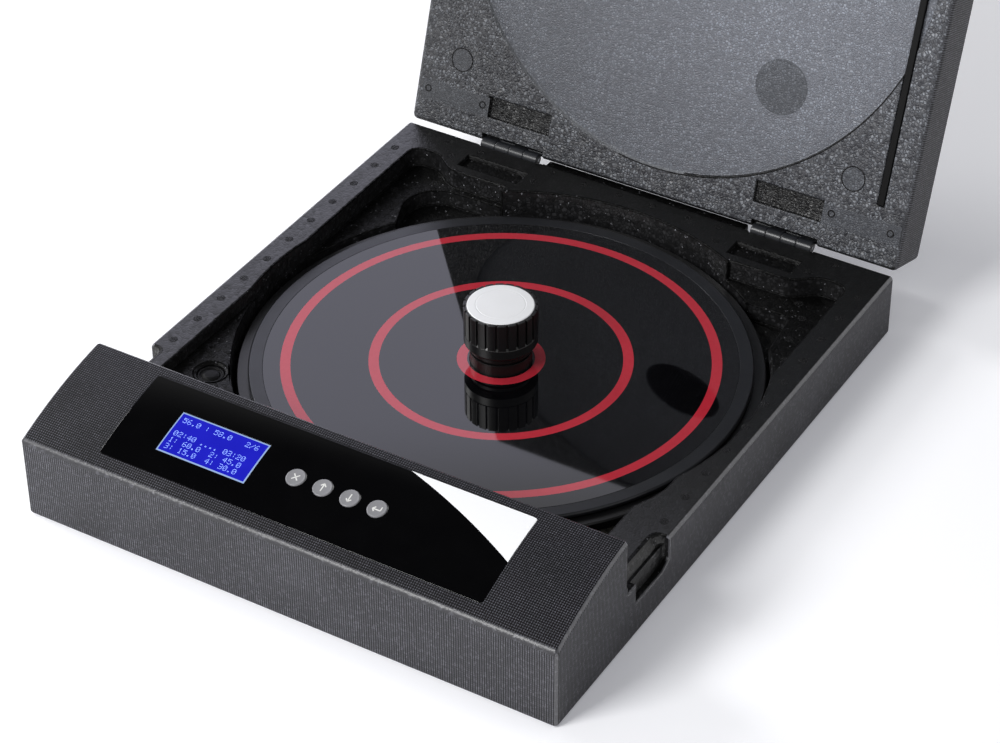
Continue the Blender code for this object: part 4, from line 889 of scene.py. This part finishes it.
# %% Signs as dots
digit_rows = {
    "0": ("01110", "10001", "10011", "10101", "11001", "10001", "01110"),
    "1": ("00100", "01100", "00100", "00100", "00100", "00100", "01110"),
    "2": ("01110", "10001", "00001", "00110", "01000", "10000", "11111"),
    "3": ("11110", "00001", "00001", "01110", "00001", "00001", "11110"),
    "4": ("00010", "00110", "01010", "10010", "11111", "00010", "00010"),
    "5": ("11111", "10000", "11110", "00001", "00001", "10001", "01110"),
    "6": ("00110", "01000", "10000", "11110", "10001", "10001", "01110"),
    "8": ("01110", "10001", "10001", "01110", "10001", "10001", "01110"),
    ":": ("00000", "00100", "00100", "00000", "00100", "00100", "00000"),
    ".": ("00000", "00000", "00000", "00000", "00000", "01100", "01100"),
    "/": ("00001", "00001", "00010", "00100", "01000", "10000", "10000"),
}
screen_lines = ("56.0 : 58.0   2/6", "", "02:40 .... 03:20", "1: 60.0  2: 45.0", "3: 15.0  4: 30.0")
dot_pitch = 0.52
line_pitch = 4.9
dots = bmesh.new()
for row, text in enumerate(screen_lines):
    for column, sign in enumerate(text):
        for down, bits in enumerate(digit_rows.get(sign, ())):
            for right, bit in enumerate(bits):
                if bit == "1":
                    u = window_across[0] + 3.6 + (column * 6 + right) * dot_pitch
                    v = window_along[1] - 3.4 - row * line_pitch - down * dot_pitch
                    dots.verts.new(Vector((u, v, -console_drop(v * mm) / mm - 0.12)) * mm)
dots.transform(panel_frame)
dot_tree, given, end = growth("squares_on_points", "Side", "Thickness", "Tilt")
inputs = given.outputs
sides = node(dot_tree, "CombineXYZ", X=inputs["Side"], Y=inputs["Side"], Z=inputs["Thickness"])
square = node(dot_tree, "GeometryNodeMeshCube", Size=sides)
tilted = node(dot_tree, "CombineXYZ", X=inputs["Tilt"])
laid = node(dot_tree, "GeometryNodeInstanceOnPoints", Points=given, Instance=square, Rotation=tilted)
end_growth(dot_tree, laid, end, dot_light)
signs = grown("display_dots", dots, dot_tree, {"Side": 0.36 * mm, "Thickness": 0.06 * mm, "Tilt": slope})
dressed(signs, "base", (dot_light,))

# %% [markdown]
# ## Keys
# Four round keys of grey satin plastic stand half a millimetre proud of the panel. Their signs are simple
# strokes, printed in a lighter grey: a cross, an arrow up, an arrow down and a return arrow. Each key is a
# lathe shape in the slope's frame with its strokes laid on top as thin bars.

# %% Keys
key_plastic = moulded_plastic("ABS_moulded_satin_grey", "#77777A", "#85858A", 0.34, depth=0.01 * mm)
key_print = moulded_plastic("ink_pad_printed_pale", "#D0D0CE", "#DCDCDA", 0.5, depth=0.004 * mm)
strokes = {
    "cancel": ((-1.9, -1.9, 1.9, 1.9), (-1.9, 1.9, 1.9, -1.9)),
    "up": ((0, -2.7, 0, 2.6), (0, 2.7, -1.7, 0.9), (0, 2.7, 1.7, 0.9)),
    "down": ((0, 2.7, 0, -2.6), (0, -2.7, -1.7, -0.9), (0, -2.7, 1.7, -0.9)),
    "enter": ((2.6, 1.9, 2.6, -0.7), (2.7, -0.8, -2.4, -0.8), (-2.5, -0.8, -0.9, 0.8),
              (-2.5, -0.8, -0.9, -2.4)),
}
stroke_width = 0.75
key_profile = rounded_profile([(0, -4.7), (7.2, -4.7), (7.2, -2.2), (6.0, -2.2), (6.0, 0.0), (5.5, 0.5),
                               (4.6, 0.38), (0, 0.3)], 0.25)
for name, place in zip(strokes, key_across):
    key = bmesh.new()
    add_turned(key, key_profile, (place, key_along), 64)
    for x1, y1, x2, y2 in strokes[name]:
        start = Vector((x1, y1))
        along = Vector((x2, y2)) - start
        reach = along.length
        along.normalize()
        aside = Vector((-along.y, along.x)) * stroke_width / 2
        plan = [start + aside, start - aside, start - aside + along * reach, start + aside + along * reach]
        low = [key.verts.new(Vector((place + p.x, key_along + p.y, 0.25)) * mm) for p in plan]
        high = [key.verts.new(Vector((place + p.x, key_along + p.y, 0.4)) * mm) for p in plan]
        quads = [low[::-1], high] + [(low[i], low[(i + 1) % 4], high[(i + 1) % 4], high[i]) for i in range(4)]
        made = [key.faces.new(quad) for quad in quads]
        for face in made:
            face.material_index = 1
        bmesh.ops.recalc_face_normals(key, faces=made)
    key.transform(panel_frame)
    dressed(bare_object(name + "_key_top", key), name + "_button", (key_plastic, key_print),
            (name + "_key",))

# %% [markdown]
# ## Hinges, plug and strip
# Each hinge is two pressed steel leaves with four rolled knuckles on a pin, coated in satin dark grey. The
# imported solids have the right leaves, so copies of them get broken edges, and each knuckle gets a fine
# turned sleeve with rounded ends, so the thin dark lines between knuckles show. The pocket's plug is rubber
# with a moulded ring, and the lid's strip is black rubber.

# %% Hinges
hinge_coat = moulded_plastic("steel_pressed_black_coated", "#16171A", "#222429", 0.34, grain=0.8 * mm)
rubber_black = moulded_plastic("rubber_moulded_black", "#020203", "#070708", 0.5, grain=0.8 * mm, sheen=0.15)
hinge_inner = 79.5
knuckle = 10.75
barrel_radius = 3.85
barrel_axis = Vector((0, 211.8, 44.3)) * mm
for side, word in ((-1, "left"), (1, "right")):
    for body, node_name, first in (("base", "base_leaf_", 0), ("lid", "lid_leaf_", 1)):
        leaf = joined_solid(node_name + word)
        soften(leaf, 0.2 * mm, 2, lambda edge: edge.calc_length() > 1.2 * mm, sharper_than=60)
        for number in range(first, 4, 2):
            start = hinge_inner + number * knuckle + 0.12
            stop = hinge_inner + (number + 1) * knuckle - 0.12
            sleeve = bmesh.new()
            profile = rounded_profile([(1.45, start), (barrel_radius, start), (barrel_radius, stop),
                                       (1.45, stop)], 0.7)
            add_turned(sleeve, profile, (0, 0), 48)
            sleeve.transform(Matrix.Translation(barrel_axis) @ Matrix.Rotation(side * 90 * degrees, 4, "Y"))
            scratch = bpy.data.meshes.new("sleeve")
            sleeve.to_mesh(scratch)
            sleeve.free()
            leaf.from_mesh(scratch)
            bpy.data.meshes.remove(scratch)
        made = bare_object(node_name + word + "_pressed", leaf)
        dressed(made, body, (hinge_coat,), (node_name + word,))

# %% Plug and strip
plug_centre = (-139.0, -80.0)
plug_profile = [(0, 28.5), (8.4, 28.5), (8.4, 32.6), (7.9, 33.1), (7.0, 33.1), (6.6, 32.3), (5.8, 32.3),
                (5.2, 33.0), (3.6, 33.5), (0, 33.7)]
plug = bmesh.new()
add_turned(plug, rounded_profile(plug_profile, 0.25), plug_centre, 96)
dressed(bare_object("plug_ringed", plug), "base", (rubber_black,), ("pocket_plug",))
strip = joined_solid("side_strip")
soften(strip, 0.6 * mm, 3)
dressed(bare_object("strip_rounded", strip), "lid", (rubber_black,), ("side_strip",))

# %% [markdown]
# ## Marks of the mould
# Steam enters the mould through small slotted vents, and each leaves a round mark with fine slits on the
# foam, in rows along the rim. Geometry Nodes set them on points: a vent mark is a thin dark disc with three
# slits across it. The lid has marks of its own, round ones and plain patches, and thin rings where pins
# pushed it out. They are few and all differ, so they are laid on one by one, as is a dark line of painted
# shade along the recess's edge.

# %% Vent marks
# Dark foam of the vent marks, also used for the pin rings and for the painted shade line in the lid.
vent_and_shade_dark = bead_foam("moulded_bead_foam_vent_mark_and_painted_shade", "#080809", "#141415", bead=1.2 * mm, tilt=0.3,
                      roughness=0.5, sheen=0.22)
vent_tree, given, end = growth("vents_on_points", "Radius", "Thickness", "Slit")
inputs = given.outputs
shapes = [node(vent_tree, "GeometryNodeMeshCylinder", Vertices=20, Radius=inputs["Radius"],
               Depth=inputs["Thickness"])]
tall = node(vent_tree, "Math", "MULTIPLY", i0=inputs["Thickness"], i1=2.2)
for place in (-0.5, 0.0, 0.5):
    across = node(vent_tree, "Math", "MULTIPLY", i0=inputs["Radius"], i1=place)
    long_side = node(vent_tree, "Math", "MULTIPLY", i0=inputs["Radius"], i1=1.5 if place else 1.9)
    sides = node(vent_tree, "CombineXYZ", X=inputs["Slit"], Y=long_side, Z=tall)
    slit = node(vent_tree, "GeometryNodeMeshCube", Size=sides)
    shift = node(vent_tree, "CombineXYZ", X=across)
    shapes.append(node(vent_tree, "GeometryNodeTransform", Geometry=slit, Translation=shift))
mark = node(vent_tree, "GeometryNodeJoinGeometry")
for shape in shapes:
    vent_tree.links.new(shape.outputs[0], mark.inputs[0])
set_down = node(vent_tree, "GeometryNodeInstanceOnPoints", Points=given, Instance=mark)
end_growth(vent_tree, set_down, end, vent_and_shade_dark)

side_rows = [137.0 + 25.1 * number for number in range(11)]
vents = [(-170.3, y, 44.0) for y in side_rows] + [(170.3, y, 44.0) for y in side_rows]
vents += [(-142.7, 412.0, 44.0), (-117.7, 411.5, 44.0), (142.8, 412.8, 44.0), (-64.2, 414.0, 44.0)]
vents += [(x, 413.8, 44.0) for x in (-39.0, -13.0, 11.6, 38.0, 59.5)]
vents += [(-131.8, 398.2, 44.0), (-69.5, 399.4, 44.0), (65.5, 399.4, 44.0), (131.3, 397.7, 44.0)]
vents += [(-155.0, 362.7, 30.0), (-146.0, 345.0, 30.0), (-134.7, 382.9, 30.0), (133.8, 382.5, 30.0)]
vents += [(142.4, 369.0, 30.0), (145.4, 345.6, 30.0), (152.7, 325.2, 30.0)]
points = bmesh.new()
for x, distance, level in vents:
    points.verts.new(Vector((x, distance - 211, level)) * mm)
vent_marks = grown("rim_vent_marks", points, vent_tree,
                   {"Radius": 2.8 * mm, "Thickness": 0.1 * mm, "Slit": 0.5 * mm})
dressed(vent_marks, "base", (vent_and_shade_dark,))

# %% Marks in the lid
skin_lift = 0.05
border_level = 0.3 - skin_lift
recess_level = 3.3 - skin_lift
lid_marks = bmesh.new()
for across, from_hinge, radius, sunk, level, steps in ((78.9, 93.6, 18.0, 3.5, recess_level, 96),
                                                       (-147.8, 49.8, 8.0, 0.5, border_level, 48),
                                                       (139.7, 50.8, 8.0, 0.5, border_level, 48)):
    spot = lid_place(across, from_hinge)
    add_turned(lid_marks, [(0, sunk), (radius, sunk), (radius, level), (0, level)], (spot.x, spot.y), steps)
for low, high in ((-174.4, -122.7), (124.0, 178.0)):
    add_box(lid_marks, (low, high), (-30.8, -17.3), (border_level, 0.5))
lid_marks.transform(lid_frame)
dressed(bare_object("lid_mould_marks", lid_marks), "lid", (foam_lid_mark,))
lid_rings_and_shade_line = bmesh.new()
for across, from_hinge, radius, width in ((-170.1, 24.0, 2.5, 0.8), (-127.6, 24.0, 2.5, 0.8),
                                          (130.0, 24.6, 2.5, 0.8), (171.1, 23.6, 2.5, 0.8),
                                          (-147.8, 49.8, 8.2, 0.7), (139.7, 50.8, 8.2, 0.7)):
    spot = lid_place(across, from_hinge)
    add_turned(lid_rings_and_shade_line, [(radius - width, 0.0), (radius, 0.0), (radius, 0.4), (radius - width, 0.4)],
               (spot.x, spot.y), 48)

# %% Painted shade line along the recess
# A thin dark lip along the recess's edge on its right, hinge side: painted shade where the wall is in shadow.
shade_line_angles = range(21, 101, 2)
shade_line_section = [(166.6, 1.6), (167.4, 1.6), (167.4, border_level), (166.6, border_level)]
rings = []
for angle in shade_line_angles:
    outwards = Vector((math.cos(angle * degrees), math.sin(angle * degrees)))
    corners = [(*(lid_centre + outwards * radius), level) for radius, level in shade_line_section]
    rings.append([lid_rings_and_shade_line.verts.new(Vector(corner) * mm) for corner in corners])
for one, other in zip(rings, rings[1:]):
    for number in range(4):
        after = (number + 1) % 4
        lid_rings_and_shade_line.faces.new((one[number], one[after], other[after], other[number]))
lid_rings_and_shade_line.faces.new(rings[0][::-1])
lid_rings_and_shade_line.faces.new(rings[-1])
lid_rings_and_shade_line.transform(lid_frame)
bmesh.ops.recalc_face_normals(lid_rings_and_shade_line, faces=lid_rings_and_shade_line.faces)
dressed(bare_object("lid_ring_marks_and_shade_line", lid_rings_and_shade_line), "lid", (vent_and_shade_dark,))

# %% [markdown]
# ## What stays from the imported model
# The parts inside have the right shape already, and mostly hide in the case: boards, switches, screws, the
# heating mat and its insulation. Each still gets the finish of the real thing: green glass-fibre board with
# copper lines under its varnish, zinc on the screws, silicone with its heating wire on the mat, and so on.

# %% Finishes of the inner parts
def board_finish(name):
    """Glass-fibre board: green varnish over copper lines on a 2.5 mm grid, which show a little lighter."""
    made, tree, shader, place = new_material(name, 0.3)
    lines = node(tree, "TexBrick", {"offset": 0.37}, Vector=place, Color1="#0E4A27", Color2="#12562E",
                 Mortar="#2B7A45", Scale=1.0, Mortar_Size=0.3 * mm, Brick_Width=9 * mm, Row_Height=2.5 * mm)
    coat(tree, shader, lines, lines.outputs["Fac"], 0.03 * mm)
    return made


def mat_finish(name):
    """Silicone heating mat: orange-red rubber over a wire laid in waves 4 mm apart."""
    made, tree, shader, place = new_material(name, 0.6)
    wire = node(tree, "TexWave", {"wave_profile": "SIN"}, Vector=place, Scale=1 / (8 * mm),
                Distortion=1.5).outputs["Fac"]
    mixed = node(tree, "MixRGB", Fac=wire, Color1="#8A2E14", Color2="#B5451F")
    coat(tree, shader, mixed, wire, 0.2 * mm)
    return made


steel_bright = turned_metal("steel_turned_bright", "#9A9CA0", "#B4B6BA", 0.25)
steel_zinc = turned_metal("steel_zinc_plated", "#A7A9A8", "#BDBFC0", 0.32)
brass_turned = turned_metal("brass_turned", "#B08A3E", "#C9A254", 0.28)
board_green = board_finish("glass_fibre_board_varnished")
mat_red = mat_finish("silicone_rubber_heating_mat")
wool_grey = bead_foam("mineral_wool_pressed_board", "#8C8A80", "#B9B6AA", bead=1.2 * mm, tilt=0.2,
                      roughness=0.9)
silicone_grey = moulded_plastic("silicone_rubber_moulded_grey", "#55565A", "#66676B", 0.55)
felt_black = moulded_plastic("silicone_foam_sheet_black", "#0C0C0D", "#161617", 0.75, grain=0.9 * mm,
                             depth=0.1 * mm)
abs_black = moulded_plastic("ABS_moulded_textured_black", "#101012", "#19191B", 0.45, grain=0.7 * mm)
pvc_black = moulded_plastic("PVC_extruded_black", "#0A0A0B", "#131314", 0.38, grain=1.5 * mm)
kept = (
    (steel_zinc, ("board_screw", "stem_screw", "spindle_nut", "display_module")),
    (steel_bright, ("hinge_pin", "centre_spindle", "thrust_washer")),
    (brass_turned, ("threaded_insert",)),
    (board_green, ("control_board", "power_board")),
    (abs_black, ("board_tray", "power_module", "power_inlet", "temperature_sensor")),
    (abs_black, ("cancel_switch", "up_switch", "down_switch", "enter_switch")),
    (mat_red, ("heater_mat",)),
    (wool_grey, ("insulation_disc",)),
    (silicone_grey, ("plate_standoff",)),
    (felt_black, ("press_pad",)),
    (pvc_black, ("inlet_lead", "heater_lead")),
)
finished = 0
for surface, starts in kept:
    for name, solid in frame["nodes"].items():
        if name.startswith(starts):
            for slot in solid.material_slots:
                slot.material = surface
            finished += 1
print("packed solids with a new finish:", finished)
